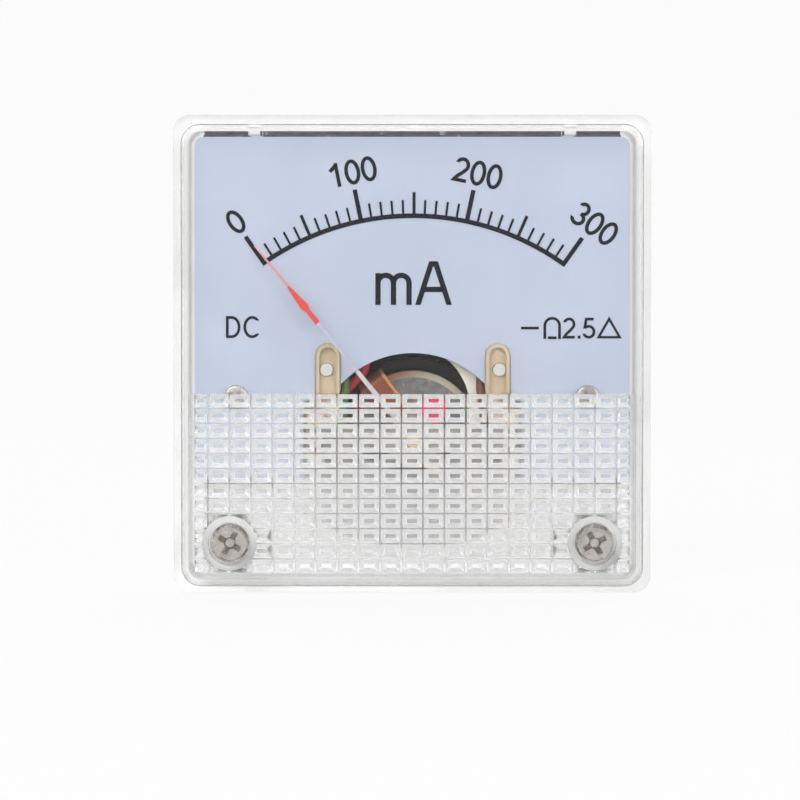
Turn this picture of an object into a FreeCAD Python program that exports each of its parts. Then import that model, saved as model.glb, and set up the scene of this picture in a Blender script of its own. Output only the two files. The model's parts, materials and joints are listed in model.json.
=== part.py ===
import FreeCAD
import Part
import math
import os
from FreeCAD import Vector

# A square moving-coil panel meter with a round body, for a round hole in a panel.
# Lengths are millimetres and angles are degrees. X is right and Z is up, as seen from the front.
# Y is depth: the panel's front lies at y = 0, the window faces -Y and the terminals point to +Y.

# Outer case, a white moulding: a square flange with a round cup behind it
flange_side = 45.0
flange_corner = 1.6
flange_thickness = 2.0
barrel_radius = 19.0
barrel_depth = 14.0
barrel_wall = 1.3
barrel_edge_fillet = 0.8
rear_wall = 1.5
lip_wall = 1.0
lip_clearance = 0.2
lip_inner_corner = 0.4

# Clear cover
front_height = 10.0
cover_side = 42.9
cover_corner = 1.8
cover_wall = 0.65
cover_edge_fillet = 0.5
cover_seat_gap = 0.05
window_thickness = 1.25
rim_thickness = 1.6
hook_width = 1.1
hook_offset = 14.65
hook_reach = 0.35
hook_clearance = 0.25
gate_mark_height = 1.3
gate_mark_z = -3.1
gate_mark_depth = 0.2
gate_mark_inner_gap = 0.1
gate_mark_outer_gap = 0.2

# Ribs moulded on the inside of the window: flat-topped cells with narrow valleys between them
rib_height = 0.45
rib_pitch_x = 2.0
rib_pitch_z = 1.4
rib_valley = 0.16
rib_flat_share_x = 0.51
rib_flat_share_z = 0.28
rib_half_width = 20.3
rib_top = -3.52
rib_bottom = -20.3
rib_root = 0.2

# Screws in the lower corners, which hold the cover
cover_screw_x = 17.0
cover_screw_z = -17.5
cover_screw_radius = 1.0
cover_screw_length = 6.6
cover_head_radius = 1.85
cover_head_height = 1.3
cover_head_sink = 1.2
cover_boss_radius = 2.55
boss_seat_radius = 1.5
head_clearance = 0.15
shank_clearance = 0.15
thread_clearance = 0.02
screw_end_gap = 0.3
screw_turn_left = 30.0
screw_turn_right = 62.0

# Shape of every screw head, as shares of its radius or height
head_fillet_share = 0.28
cross_radius_share = 0.64
cross_bottom_share = 0.35
cross_arm_share = 0.46
cross_middle_share = 0.46
cross_depth_share = 0.6

# Dial plate, aluminium sheet on the case's lip, and its printed scale
dial_seat = 2.0
dial_thickness = 0.5
dial_edge_gap = 0.4
dial_corner = 0.8
dial_leg_end = -11.6
dial_leg_gap = 2.05
dial_arch_gap = 1.15
dial_arch_top = 0.13
dial_slot_clearance = 0.12
dial_column_gap = 1.0
dial_screw_z = -4.0
dial_screw_radius = 0.8
dial_screw_length = 4.0
dial_head_radius = 1.13
dial_head_height = 0.7
dial_post_radius = 1.9
dial_post_gap = 0.12
print_thickness = 0.05
scale_centre_z = -11.35
scale_radius = 24.14
scale_band = 0.44
scale_half_angle = 35.25
scale_turn = 0.23
scale_divisions = 30
scale_medium_every = 5
scale_major_every = 10
tick_minor = (1.71, 0.21)
tick_medium = (2.44, 0.29)
tick_major = (3.22, 0.41)

# Movement axis, which the pointer turns about
axis_x = 0.07
axis_z = -7.93
zero_angle = -39.2
travel = 84.0
travel_below_zero = 3.0

# Magnet system, which hangs as low in the cup as its ring allows
core_front = -1.0
core_to_bar = 2.4
core_chamfer = 0.6
magnet_gap = 1.15
ring_wall = 0.7
ring_to_cup = 1.62
ring_edge_chamfer = 0.25
wedge_half_angle = 20.0
glue_gap = 0.05

# Moving coil on its former
former_clearance = 0.1
former_wall = 0.1
former_end_gap = 0.25
winding_build = 0.65
coil_half_width = 1.4
coil_turn = 3.0
coil_corner = 0.5

# Spindles and their jewels
spindle_radius = 0.3
spindle_foot_radius = 0.9
spindle_foot_height = 0.2
tip_radius = 0.12
tip_length = 0.25
tip_cone = 0.3
jewel_radius = 0.42
jewel_height = 0.45
jewel_hole_radius = 0.16
jewel_hole_depth = 0.32
jewel_stand = 0.1
tip_end_gap = 0.05
jewel_screw_radius = 0.65
jewel_screw_stand = 0.25
jewel_slot_width = 0.2
jewel_slot_share = 0.3

# Depth of each layer of the movement, measured along y
bridge_front = -7.9
bridge_thickness = 0.6
boss_height = 0.28
boss_radius = 1.0
lever_float = 0.05
lever_thickness = 0.18
lever_hub_radius = 1.7
lever_clearance = 0.04
lever_angle = 33.0
lever_reach = 3.7
lever_width = 2.2
front_spring_front = -6.85
spring_height = 0.22
spring_thickness = 0.08
spring_inner_radius = 0.62
spring_pitch = 0.45
spring_half_turns = 7
collet_radius = 0.55
tab_width = 0.5
pointer_front = -6.35
pointer_thickness = 0.2
rear_spring_to_bar = 0.43

# Pointer, by distance from the axis: (radius, full width)
pointer_outline = [
    (0.7, 0.42), (8.2, 0.42), (8.25, 0.22), (14.0, 0.22), (14.02, 0.52), (15.5, 0.44),
    (16.0, 0.78), (18.5, 0.24), (23.4, 0.14),
]

# Balance cross behind the pointer and the weights on its arms
balance_hub_radius = 0.85
balance_thickness = 0.2
balance_width = 0.4
tail_length = 4.1
side_arm_length = 2.6
tail_weight_height = 0.9
tail_weight_radius = 0.75
side_weight_height = 0.5
side_weight_radius = 0.4
side_weight_place = 2.0
aluminium_density = 2.7
brass_density = 8.5

# Movement frame, an ivory moulding round the ring
frame_plate_gap = 0.45
frame_plate_width = 2.0
frame_plate_half_angle = 50.0
frame_plate_front = -2.8
frame_plate_back = -1.2
frame_web_thickness = 0.6
frame_web_centre = (-0.5, -5.1)
frame_web_radius = 5.95
frame_web_angle = 35.0
frame_web_half_angle = 25.0
frame_web_root = 0.1
column_gap = 0.1
column_width = 1.65
column_half_height = 2.6
shoulder_reach = 0.85
shoulder_root = 0.2
shoulder_half_height = 2.0
shoulder_thickness = 1.2
rear_bar_to_wall = 1.1
rear_bar_thickness = 1.0
rear_bar_half_height = 1.5
rear_disc_radius = 3.0
ear_over_ring = 0.18
ear_width = 2.15
ear_top = 0.95
ear_front = -5.0
ear_rim = 0.28
ear_floor = -4.4
ear_foot = 0.9
post_past_ear = 0.15
post_z = -1.42
post_radius = 1.3
post_root = 0.5
post_pin_radius = 0.6
post_pin_stand = 0.35
post_pin_clearance = 0.04

# Front bridge across the columns
bridge_half_height = 1.1
bridge_disc_radius = 2.4
bridge_past_screw = 0.7
bridge_screw_radius = 0.5
bridge_screw_length = 3.0
bridge_head_radius = 0.7
bridge_head_height = 0.28
stop_radius = 3.5
stop_pin_radius = 0.25
stop_clearance = 0.06
stop_lug_half_width = 0.45
stop_end_gap = 0.04

# Terminals: M3 studs through the rear wall with their washers and nuts
terminal_x = 9.5
terminal_z = 5.0
stud_radius = 1.5
terminal_reach = 23.0
terminal_head_radius = 2.6
terminal_head_height = 1.6
terminal_hole_clearance = 0.05
terminal_pad_radius = 4.1
terminal_pad_height = 0.6
washer_radius = 3.5
washer_bore = 1.6
washer_thickness = 0.5
spring_washer_radius = 2.8
spring_washer_bore = 1.55
spring_washer_thickness = 0.8
spring_washer_gap = 0.5
spring_washer_split_angle = 35.0
nut_across_flats = 5.5
nut_height = 2.4
nut_chamfer = 0.35
stud_chamfer = 0.35
lug_radius = 2.9
lug_thickness = 0.4
lug_tail = 3.6
lug_tail_width = 1.6
sign_length = 2.0
sign_width = 0.5
sign_height = 0.25
sign_z = -1.2

# Shunt between the terminals
shunt_bobbin_radius = 1.1
shunt_flange_radius = 1.7
shunt_flange_width = 0.6
shunt_winding_radius = 1.5
shunt_end_gap = 0.3

# Mounting studs moulded into the upper corners of the flange
mounting_offset = 17.2
mounting_reach = 12.0
mounting_head_radius = 2.25
mounting_collar_radius = 1.8
mounting_boss_radius = 3.0
mounting_boss_height = 1.7
mounting_head_sink = 0.1

# Leads inside the case
lead_radius = 0.4
lead_bend_most = 1.6
lead_bend_share = 0.45
lead_clearance = 0.15
lead_over_head = 1.6
lead_turn_share = 0.4
red_lead_inside = 1.5
red_lead_entry_x = -4.5
red_lead_entry_z = 1.0
red_lead_inset = 0.4
red_lead_angles = (-35, -56, -90, -125)
red_lead_exit_x = -3.2
red_lead_exit_step = 0.6
red_lead_exit_share = 0.65
red_lead_rise = 0.8
red_lead_run = 2.6
green_lead_inside = 0.5
green_lead_rise = 2.2
green_lead_cross_x = 3.0
green_lead_cross_z = 4.4
green_lead_turn_x = 2.0
green_lead_turn_z = 3.2
brown_lead_run = 3.5
brown_lead_inside = 0.4
brown_lead_drop = 1.4
past_ear_top = 1.3
past_ear_bottom = -3.4
pad_from_column = 1.55
pad_above = 1.5

# Planes and centres that follow from the sizes above
flange_front = -flange_thickness
cover_back = flange_front - cover_seat_gap
rim_front = flange_front - rim_thickness
window_front = -front_height
window_back = window_front + window_thickness
rear_wall_front = barrel_depth - rear_wall
cup_radius = barrel_radius - barrel_wall
cavity_half = cover_side / 2 - cover_wall
cavity_corner = cover_corner - cover_wall
dial_back = flange_front - dial_seat
dial_front = dial_back - dial_thickness
dial_half = cavity_half - dial_edge_gap
lip_half = cavity_half - lip_clearance
head_seat = window_front + cover_head_sink + cover_head_height
dial_post_reach = barrel_radius - dial_post_radius - dial_post_gap
dial_screw_x = math.sqrt(dial_post_reach ** 2 - dial_screw_z ** 2)
ring_radius = cup_radius + axis_z - ring_to_cup
ring_bore = ring_radius - ring_wall
core_radius = ring_bore - magnet_gap
dial_arch_radius = ring_radius + dial_arch_gap
dial_leg_inner = ring_radius + dial_leg_gap
rear_bar_back = rear_wall_front - rear_bar_to_wall
rear_bar_front = rear_bar_back - rear_bar_thickness
core_back = rear_bar_front - core_to_bar
column_inner = ring_radius + column_gap
column_outer = column_inner + column_width
frame_plate_bore = ring_radius + frame_plate_gap
frame_plate_radius = frame_plate_bore + frame_plate_width
ear_offset = ring_radius - ear_over_ring
post_offset = ear_offset + post_past_ear
bridge_screw_offset = (column_inner + column_outer) / 2
bridge_half_length = bridge_screw_offset + bridge_past_screw
bridge_pad_offset = column_inner - pad_from_column
former_inner = core_radius + former_clearance
former_outer = former_inner + former_wall
coil_reach = former_outer + winding_build
coil_front = core_front - former_end_gap - former_wall - winding_build
coil_back = core_back + former_end_gap + former_wall + winding_build
bridge_back = bridge_front + bridge_thickness
lever_front = bridge_back + lever_float
lever_back = lever_front + lever_thickness
front_spring_back = front_spring_front + spring_height
rear_spring_back = rear_bar_front - rear_spring_to_bar
rear_spring_front = rear_spring_back - spring_height
spring_growth = spring_pitch / 2
spring_reach = spring_inner_radius + (spring_half_turns - spring_half_turns % 2) * spring_growth
pointer_back = pointer_front + pointer_thickness
balance_back = pointer_back + balance_thickness
stop_end = balance_back - stop_end_gap
ear_centre_left = axis_x - ear_offset
ear_centre_right = axis_x + ear_offset
terminal_seat = barrel_depth + terminal_pad_height
lug_front = rear_wall_front - lug_thickness
lug_tip_z = terminal_z + lug_radius + lug_tail
shunt_half = terminal_x - terminal_head_radius - shunt_end_gap
shunt_y = rear_wall_front - shunt_flange_radius
front_jewel_back = lever_back + jewel_stand
rear_jewel_front = rear_bar_front - jewel_stand
front_tip = front_jewel_back - jewel_hole_depth + tip_end_gap
rear_tip = rear_jewel_front + jewel_hole_depth - tip_end_gap

depth_axis = Vector(0, 1, 0)
AXIS = Vector(axis_x, 0, axis_z)


def rod(radius, start, end, x=0.0, z=0.0):
    """A round bar along the depth axis."""
    return Part.makeCylinder(radius, end - start, Vector(x, start, z), depth_axis)


def cone(start_radius, end_radius, start, end, x=0.0, z=0.0):
    return Part.makeCone(start_radius, end_radius, end - start, Vector(x, start, z), depth_axis)


def block(x_low, x_high, y_low, y_high, z_low, z_high):
    corner = Vector(x_low, y_low, z_low)
    return Part.makeBox(x_high - x_low, y_high - y_low, z_high - z_low, corner)


def span(side, near, far):
    """The lower and upper end of a length that is mirrored to one side."""
    return sorted((side * near, side * far))


def depth_edges(shape):
    """The straight edges that run along the depth axis."""
    return [
        edge for edge in shape.Edges
        if isinstance(edge.Curve, Part.Line) and abs(edge.Curve.Direction.y) > 0.99
    ]


def rounded_square(side, corner, start, end):
    square = block(-side / 2, side / 2, start, end, -side / 2, side / 2)
    return square.makeFillet(corner, depth_edges(square))


def plate(points, start, end):
    """A flat plate whose outline is given as (x, z) points, between two depths."""
    corners = [Vector(x, start, z) for x, z in points]
    outline = Part.makePolygon(corners + corners[:1])
    return Part.Face(outline).extrude(Vector(0, end - start, 0))


def fuse(first, *others):
    return first.multiFuse(list(others)).removeSplitter()


def moment(shape):
    """Volume times height of the centre of volume."""
    return sum(solid.Volume * solid.CenterOfMass.z for solid in shape.Solids)


def at_axis(shape):
    """Moves a piece drawn about x = z = 0 onto the movement axis."""
    return shape.translated(AXIS)


def turned(shape, angle):
    """Turns a piece about the depth axis, clockwise as seen from the front."""
    return shape.rotated(Vector(0, 0, 0), depth_axis, angle)


def on_pointer(shape):
    """Turns a piece drawn with the needle upright to the zero mark, on the movement axis."""
    return at_axis(turned(shape, zero_angle))


def sector(inner, outer, start, end, centre_angle, half_angle):
    """Part of a ring about x = z = 0. Angles are clockwise from straight up."""
    profile = Part.Face(Part.makePolygon([
        Vector(0, start, inner), Vector(0, start, outer), Vector(0, end, outer),
        Vector(0, end, inner), Vector(0, start, inner),
    ]))
    ring_part = profile.revolve(Vector(0, 0, 0), depth_axis, 2 * half_angle)
    return turned(ring_part, centre_angle - half_angle)


def cross_recess(radius, start, depth):
    """The cutting tool for a cross recess about x = z = 0, which narrows towards its bottom."""
    half = radius * cross_arm_share / 2
    wide = cone(radius, radius * cross_bottom_share, start, start + depth)
    bars = fuse(
        block(-radius, radius, start, start + depth, -half, half),
        block(-half, half, start, start + depth, -radius, radius),
        rod(radius * cross_middle_share, start, start + depth),
    )
    return wide.common(bars)


def pan_screw(x, z, seat, head_radius, head_height, shank_radius, shank_length, turn):
    """A cross-recess screw whose head lies in front of its seat."""
    front = seat - head_height
    head = rod(head_radius, front, seat, x, z)
    rim = [edge for edge in head.Edges if edge.BoundBox.YMax < front + 0.001]
    head = head.makeFillet(head_height * head_fillet_share, rim)
    screw = fuse(head, rod(shank_radius, seat, seat + shank_length, x, z))
    recess = cross_recess(head_radius * cross_radius_share, front, head_height * cross_depth_share)
    return screw.cut(turned(recess, turn).translated(Vector(x, 0, z)))


def slotted_stem(radius, start, end, slot_at_front):
    """A headless screw on the movement axis with a screwdriver slot in its outer end."""
    stem = rod(radius, start, end)
    depth = (end - start) * jewel_slot_share
    low, high = (start, start + depth) if slot_at_front else (end - depth, end)
    return stem.cut(block(-radius, radius, low, high, -jewel_slot_width / 2, jewel_slot_width / 2))


def rib_lines():
    """Where the rib cells meet: whole cells from the middle and the bottom, cut off at the ends."""
    columns = int((rib_half_width - rib_pitch_x / 2) / rib_pitch_x)
    inner = rib_pitch_x / 2 + columns * rib_pitch_x
    across = [-inner + rib_pitch_x * step for step in range(2 * columns + 2)]
    rows = int((rib_top - rib_bottom) / rib_pitch_z)
    up = [rib_bottom + rib_pitch_z * step for step in range(rows + 1)]
    return [-rib_half_width] + across + [rib_half_width], up + [rib_top]


def flat_face(points):
    return Part.Face(Part.makePolygon(points + points[:1]))


def cell_corners(left, right, low, high, depth):
    return [
        Vector(left, depth, low), Vector(right, depth, low),
        Vector(right, depth, high), Vector(left, depth, high),
    ]


def rib_cell(left, right, low, high):
    """The faces of one cell: its share of the valley, four slopes and the flat top."""
    wide = right - left - rib_valley
    tall = high - low - rib_valley
    slope_x = rib_valley / 2 + wide * (1 - rib_flat_share_x) / 2
    slope_z = rib_valley / 2 + tall * (1 - rib_flat_share_z) / 2
    edge = rib_valley / 2
    rings = [
        cell_corners(left, right, low, high, window_back),
        cell_corners(left + edge, right - edge, low + edge, high - edge, window_back),
        cell_corners(
            left + slope_x, right - slope_x, low + slope_z, high - slope_z, window_back + rib_height
        ),
    ]
    faces = [flat_face(rings[-1])]
    for outer, inner in zip(rings, rings[1:]):
        for index in range(4):
            after = (index + 1) % 4
            faces.append(flat_face([outer[index], outer[after], inner[after], inner[index]]))
    return faces


def rib_sheet():
    """The ribs as one solid, with its root sunk into the window."""
    across, up = rib_lines()
    base = window_back - rib_root
    faces = []
    for left, right in zip(across, across[1:]):
        for low, high in zip(up, up[1:]):
            faces += rib_cell(left, right, low, high)
    for z in (up[0], up[-1]):
        upper = [Vector(x, window_back, z) for x in across]
        faces.append(flat_face(upper + [Vector(across[-1], base, z), Vector(across[0], base, z)]))
    for x in (across[0], across[-1]):
        upper = [Vector(x, window_back, z) for z in up]
        faces.append(flat_face(upper + [Vector(x, base, up[-1]), Vector(x, base, up[0])]))
    faces.append(flat_face(cell_corners(across[0], across[-1], up[0], up[-1], base)))
    shell = Part.makeShell(faces)
    shell.sewShape()
    return Part.makeSolid(shell)


def front_cover():
    """Clear cover: a box with a rim flange, ribs inside, screw bosses and two snap hooks."""
    box = rounded_square(cover_side, cover_corner, window_front, cover_back)
    front_edges = [edge for edge in box.Edges if edge.BoundBox.YMax < window_front + 0.001]
    box = box.makeFillet(cover_edge_fillet, front_edges)
    rim = rounded_square(flange_side, flange_corner, rim_front, cover_back)
    cover = fuse(box, rim)
    cover = cover.cut(rounded_square(2 * cavity_half, cavity_corner, window_back, cover_back))
    additions = [rib_sheet()]
    for side in (-1, 1):
        x = side * cover_screw_x
        boss_end = dial_back - cover_seat_gap
        additions.append(rod(cover_boss_radius, window_back - rib_root, boss_end, x, cover_screw_z))
        hook = side * hook_offset
        additions.append(block(
            hook - hook_width / 2, hook + hook_width / 2, window_back, cover_back,
            cavity_half - hook_reach, cavity_half + cover_wall / 2,
        ))
        low, high = span(
            side, cover_side / 2 + gate_mark_inner_gap, flange_side / 2 - gate_mark_outer_gap
        )
        additions.append(block(
            low, high, rim_front - gate_mark_depth, rim_front + gate_mark_depth,
            gate_mark_z - gate_mark_height / 2, gate_mark_z + gate_mark_height / 2,
        ))
    cover = fuse(cover, *additions)
    for side in (-1, 1):
        x = side * cover_screw_x
        counterbore = rod(cover_head_radius + head_clearance, window_front, head_seat, x, cover_screw_z)
        hole = rod(cover_screw_radius + shank_clearance, head_seat, dial_back, x, cover_screw_z)
        cover = cover.cut(counterbore).cut(hole)
    return cover


def cover_screw(side, turn):
    return pan_screw(
        side * cover_screw_x, cover_screw_z, head_seat, cover_head_radius,
        cover_head_height, cover_screw_radius, cover_screw_length, turn,
    )


def polarity_sign(side):
    """A raised minus below the left terminal, or a plus below the right one."""
    # The rear is read from behind, where left and right change places
    x = side * terminal_x
    half, width = sign_length / 2, sign_width / 2
    low, high = barrel_depth - sign_height, barrel_depth + sign_height
    bar = block(x - half, x + half, low, high, sign_z - width, sign_z + width)
    if side < 0:
        return fuse(bar, block(x - width, x + width, low, high, sign_z - half, sign_z + half))
    return bar


def rear_case():
    """White moulding: flange, cup, dial lip, screw posts, movement posts and stud bosses."""
    flange = rounded_square(flange_side, flange_corner, flange_front, 0)
    barrel = rod(barrel_radius, 0, barrel_depth)
    rear_edge = [edge for edge in barrel.Edges if edge.BoundBox.YMin > barrel_depth - 0.001]
    body = fuse(flange, barrel.makeFillet(barrel_edge_fillet, rear_edge))
    body = body.cut(rod(cup_radius, flange_front, rear_wall_front))
    lip = rounded_square(2 * lip_half, cavity_corner, dial_back, flange_front)
    lip = lip.cut(rounded_square(
        2 * (lip_half - lip_wall), lip_inner_corner, dial_back, flange_front
    ))
    additions = [lip]
    holes = []
    for side in (-1, 1):
        x = side * cover_screw_x
        boss_seat = dial_back - cover_seat_gap
        additions.append(rod(cover_boss_radius, dial_back, flange_front, x, cover_screw_z))
        additions.append(rod(boss_seat_radius, boss_seat, dial_back, x, cover_screw_z))
        screw_end = head_seat + cover_screw_length
        thread = cover_screw_radius + thread_clearance
        holes.append(rod(thread, boss_seat, screw_end + screw_end_gap, x, cover_screw_z))
        x = side * dial_screw_x
        post_end = rear_wall_front + post_root
        additions.append(rod(dial_post_radius, dial_back, post_end, x, dial_screw_z))
        thread = dial_screw_radius + thread_clearance
        screw_end = dial_front + dial_screw_length
        holes.append(rod(thread, dial_back, screw_end + screw_end_gap, x, dial_screw_z))
        x = axis_x + side * post_offset
        additions.append(rod(post_radius, frame_plate_back, rear_wall_front + post_root, x, post_z))
        additions.append(rod(post_pin_radius, ear_floor - post_pin_stand, rear_wall_front, x, post_z))
        x = side * terminal_x
        additions.append(rod(terminal_pad_radius, rear_wall_front, terminal_seat, x, terminal_z))
        additions.append(polarity_sign(side))
        stud_hole = stud_radius + terminal_hole_clearance
        holes.append(rod(stud_hole, rear_wall_front, terminal_seat, x, terminal_z))
        x = side * mounting_offset
        boss_front = flange_front - mounting_boss_height
        additions.append(rod(mounting_boss_radius, boss_front, flange_front, x, mounting_offset))
        holes.append(rod(mounting_collar_radius, flange_front, 0, x, mounting_offset))
        holes.append(rod(mounting_head_radius, boss_front, flange_front, x, mounting_offset))
        hook = side * hook_offset
        half = hook_width / 2 + hook_clearance
        holes.append(block(
            hook - half, hook + half, dial_back, flange_front,
            cavity_half - hook_reach - hook_clearance, cavity_half,
        ))
    return fuse(body, *additions).cut(Part.makeCompound(holes))


def ear_outline(centre, grow, bottom):
    """A strip with a half-round top, as a (start, end) solid maker."""
    half = ear_width / 2 + grow
    round_centre = ear_top - ear_width / 2

    def between(start, end):
        strip = block(centre - half, centre + half, start, end, bottom, round_centre)
        return fuse(strip, rod(half, start, end, centre, round_centre))

    return between


def dial_plate():
    """Sheet with an arch over the magnet, a slot for each ear and a leg down each side."""
    sheet = block(-dial_half, dial_half, dial_front, dial_back, dial_leg_end, dial_half)
    upper = [edge for edge in depth_edges(sheet) if edge.CenterOfMass.z > dial_half - 0.001]
    sheet = sheet.makeFillet(dial_corner, upper)
    arch_z = dial_arch_top - dial_arch_radius
    middle_top = axis_z + column_half_height + dial_column_gap
    cuts = [
        rod(dial_arch_radius, dial_front, dial_back, axis_x, arch_z),
        block(-dial_leg_inner, dial_leg_inner, dial_front, dial_back, dial_leg_end, middle_top),
    ]
    for centre in (ear_centre_left, ear_centre_right):
        slot = ear_outline(centre, dial_slot_clearance, middle_top - dial_column_gap)
        cuts.append(slot(dial_front, dial_back))
    for side in (-1, 1):
        hole = dial_screw_radius + shank_clearance
        cuts.append(rod(hole, dial_front, dial_back, side * dial_screw_x, dial_screw_z))
    return sheet.cut(fuse(cuts[0], *cuts[1:]))


def dial_graduations():
    """The printed scale: an arc with a tick at each division, as one thin solid."""
    start = dial_front - print_thickness
    band = sector(scale_radius, scale_radius + scale_band, start, dial_front, 0, scale_half_angle)
    step = 2 * scale_half_angle / scale_divisions
    ticks = []
    for index in range(scale_divisions + 1):
        length, width = tick_minor
        if index % scale_medium_every == 0:
            length, width = tick_medium
        if index % scale_major_every == 0:
            length, width = tick_major
        tick = block(-width / 2, width / 2, start, dial_front, scale_radius, scale_radius + length)
        ticks.append(turned(tick, index * step - scale_half_angle))
    scale = turned(fuse(band, *ticks), scale_turn)
    return scale.translated(Vector(axis_x, 0, scale_centre_z))


def dial_screw(side, turn):
    return pan_screw(
        side * dial_screw_x, dial_screw_z, dial_front, dial_head_radius,
        dial_head_height, dial_screw_radius, dial_screw_length, turn,
    )


def frame_web():
    """The crescent of the frame's plate that reaches in over the ring at the upper right."""
    end = frame_plate_front + frame_web_thickness
    web = at_axis(sector(
        ring_bore / 2, frame_plate_bore + frame_web_root, frame_plate_front, end,
        frame_web_angle, frame_web_half_angle,
    ))
    x, z = frame_web_centre
    return web.cut(rod(frame_web_radius, frame_plate_front, end, x, z))


def movement_frame():
    """Ivory moulding: a plate round the ring, two columns, a rear bar and two ears."""
    pieces = [rod(rear_disc_radius, rear_bar_front, rear_bar_back)]
    for side in (-1, 1):
        pieces.append(sector(
            frame_plate_bore, frame_plate_radius, frame_plate_front, frame_plate_back,
            side * 90, frame_plate_half_angle,
        ))
        low, high = span(side, column_inner, column_outer)
        pieces.append(block(
            low, high, bridge_back, rear_bar_back, -column_half_height, column_half_height
        ))
        low, high = span(side, column_inner - shoulder_reach, column_inner + shoulder_root)
        shoulder = core_back + glue_gap
        pieces.append(block(
            low, high, shoulder, shoulder + shoulder_thickness,
            -shoulder_half_height, shoulder_half_height,
        ))
    pieces.append(block(
        -column_outer, column_outer, rear_bar_front, rear_bar_back,
        -rear_bar_half_height, rear_bar_half_height,
    ))
    frame = at_axis(fuse(pieces[0], *pieces[1:]))
    ears = []
    cuts = []
    inner_side = ear_offset - ear_width / 2
    foot = axis_z + math.sqrt(frame_plate_bore ** 2 - inner_side ** 2) - ear_foot
    for side in (-1, 1):
        centre = axis_x + side * ear_offset
        ears.append(ear_outline(centre, 0, foot)(ear_front, frame_plate_back))
        cuts.append(ear_outline(centre, -ear_rim, foot)(ear_front, ear_floor))
        post_x = axis_x + side * post_offset
        cuts.append(rod(post_pin_radius + post_pin_clearance, ear_floor, frame_plate_back, post_x, post_z))
        thread = bridge_screw_radius + thread_clearance
        screw_x = axis_x + side * bridge_screw_offset
        screw_end = bridge_front + bridge_screw_length
        cuts.append(rod(thread, bridge_back, screw_end + thread_clearance, screw_x, axis_z))
    frame = fuse(frame, frame_web(), *ears)
    cuts.append(at_axis(rod(jewel_screw_radius + thread_clearance, rear_bar_front, rear_bar_back)))
    return frame.cut(Part.makeCompound(cuts))


def yoke_ring():
    """Soft iron ring round the core, with its inner and outer edges broken."""
    ring = rod(ring_radius, core_front, core_back).cut(rod(ring_bore, core_front, core_back))
    return at_axis(ring.makeChamfer(ring_edge_chamfer, [
        edge for edge in ring.Edges if isinstance(edge.Curve, Part.Circle)
    ]))


def core_magnet():
    core = rod(core_radius, core_front, core_back)
    rims = [edge for edge in core.Edges if isinstance(edge.Curve, Part.Circle)]
    return at_axis(core.makeChamfer(core_chamfer, rims))


def core_wedge(side):
    """Holds the core in the ring, outside the coil's sweep."""
    inner, outer = core_radius + glue_gap, ring_bore - glue_gap
    start = core_front + core_chamfer + ring_edge_chamfer
    end = core_back - core_chamfer - ring_edge_chamfer
    return at_axis(sector(inner, outer, start, end, side * 90, wedge_half_angle))


def coil_frame(inner, outer, end_inner, end_outer):
    """A closed rectangular loop round the core, in the plane of the pointer."""
    def loop(reach, grow, corner):
        solid = block(
            -coil_half_width, coil_half_width,
            core_front - grow, core_back + grow, -reach, reach,
        )
        side_edges = [
            edge for edge in solid.Edges
            if isinstance(edge.Curve, Part.Line) and abs(edge.Curve.Direction.x) > 0.99
        ]
        return solid.makeFillet(corner, side_edges)

    wall = outer - inner
    frame = loop(outer, end_outer, coil_corner + wall).cut(loop(inner, end_inner, coil_corner))
    return on_pointer(turned(frame, coil_turn))


def coil_former():
    end = former_end_gap
    return coil_frame(former_inner, former_outer, end, end + former_wall)


def coil_winding():
    end = former_end_gap + former_wall
    return coil_frame(former_outer, coil_reach, end, end + winding_build)


def spindle(foot, shoulder, tip):
    """A pivot pin on the movement axis, with a foot glued to the coil and a fine tip."""
    way = 1 if tip > foot else -1
    foot_top = foot + way * spindle_foot_height
    tip_start = tip - way * tip_length
    base = rod(spindle_foot_radius, min(foot, foot_top), max(foot, foot_top))
    stem = rod(spindle_radius, min(foot, shoulder), max(foot, shoulder))
    if way > 0:
        taper = cone(spindle_radius, tip_radius, shoulder, tip_start)
    else:
        taper = cone(tip_radius, spindle_radius, tip_start, shoulder)
    point = rod(tip_radius, min(tip_start, tip), max(tip_start, tip))
    return at_axis(fuse(base, stem, taper, point))


def front_spindle():
    return spindle(coil_front, front_tip + tip_length + tip_cone, front_tip)


def rear_spindle():
    return spindle(coil_back, rear_tip - tip_length - tip_cone, rear_tip)


def jewel(start, hole_at_back):
    """A sapphire cup with a blind hole for the spindle's tip."""
    cup = rod(jewel_radius, start, start + jewel_height)
    if hole_at_back:
        hole = rod(jewel_hole_radius, start + jewel_height - jewel_hole_depth, start + jewel_height)
    else:
        hole = rod(jewel_hole_radius, start, start + jewel_hole_depth)
    return at_axis(cup.cut(hole))


def front_jewel_screw():
    start = bridge_front - jewel_screw_stand
    screw = slotted_stem(jewel_screw_radius, start, front_jewel_back, True)
    return at_axis(screw.cut(rod(jewel_radius, front_jewel_back - jewel_height, front_jewel_back)))


def rear_jewel_screw():
    end = rear_bar_back + jewel_screw_stand
    screw = slotted_stem(jewel_screw_radius, rear_jewel_front, end, False)
    return at_axis(screw.cut(rod(jewel_radius, rear_jewel_front, rear_jewel_front + jewel_height)))


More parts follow.
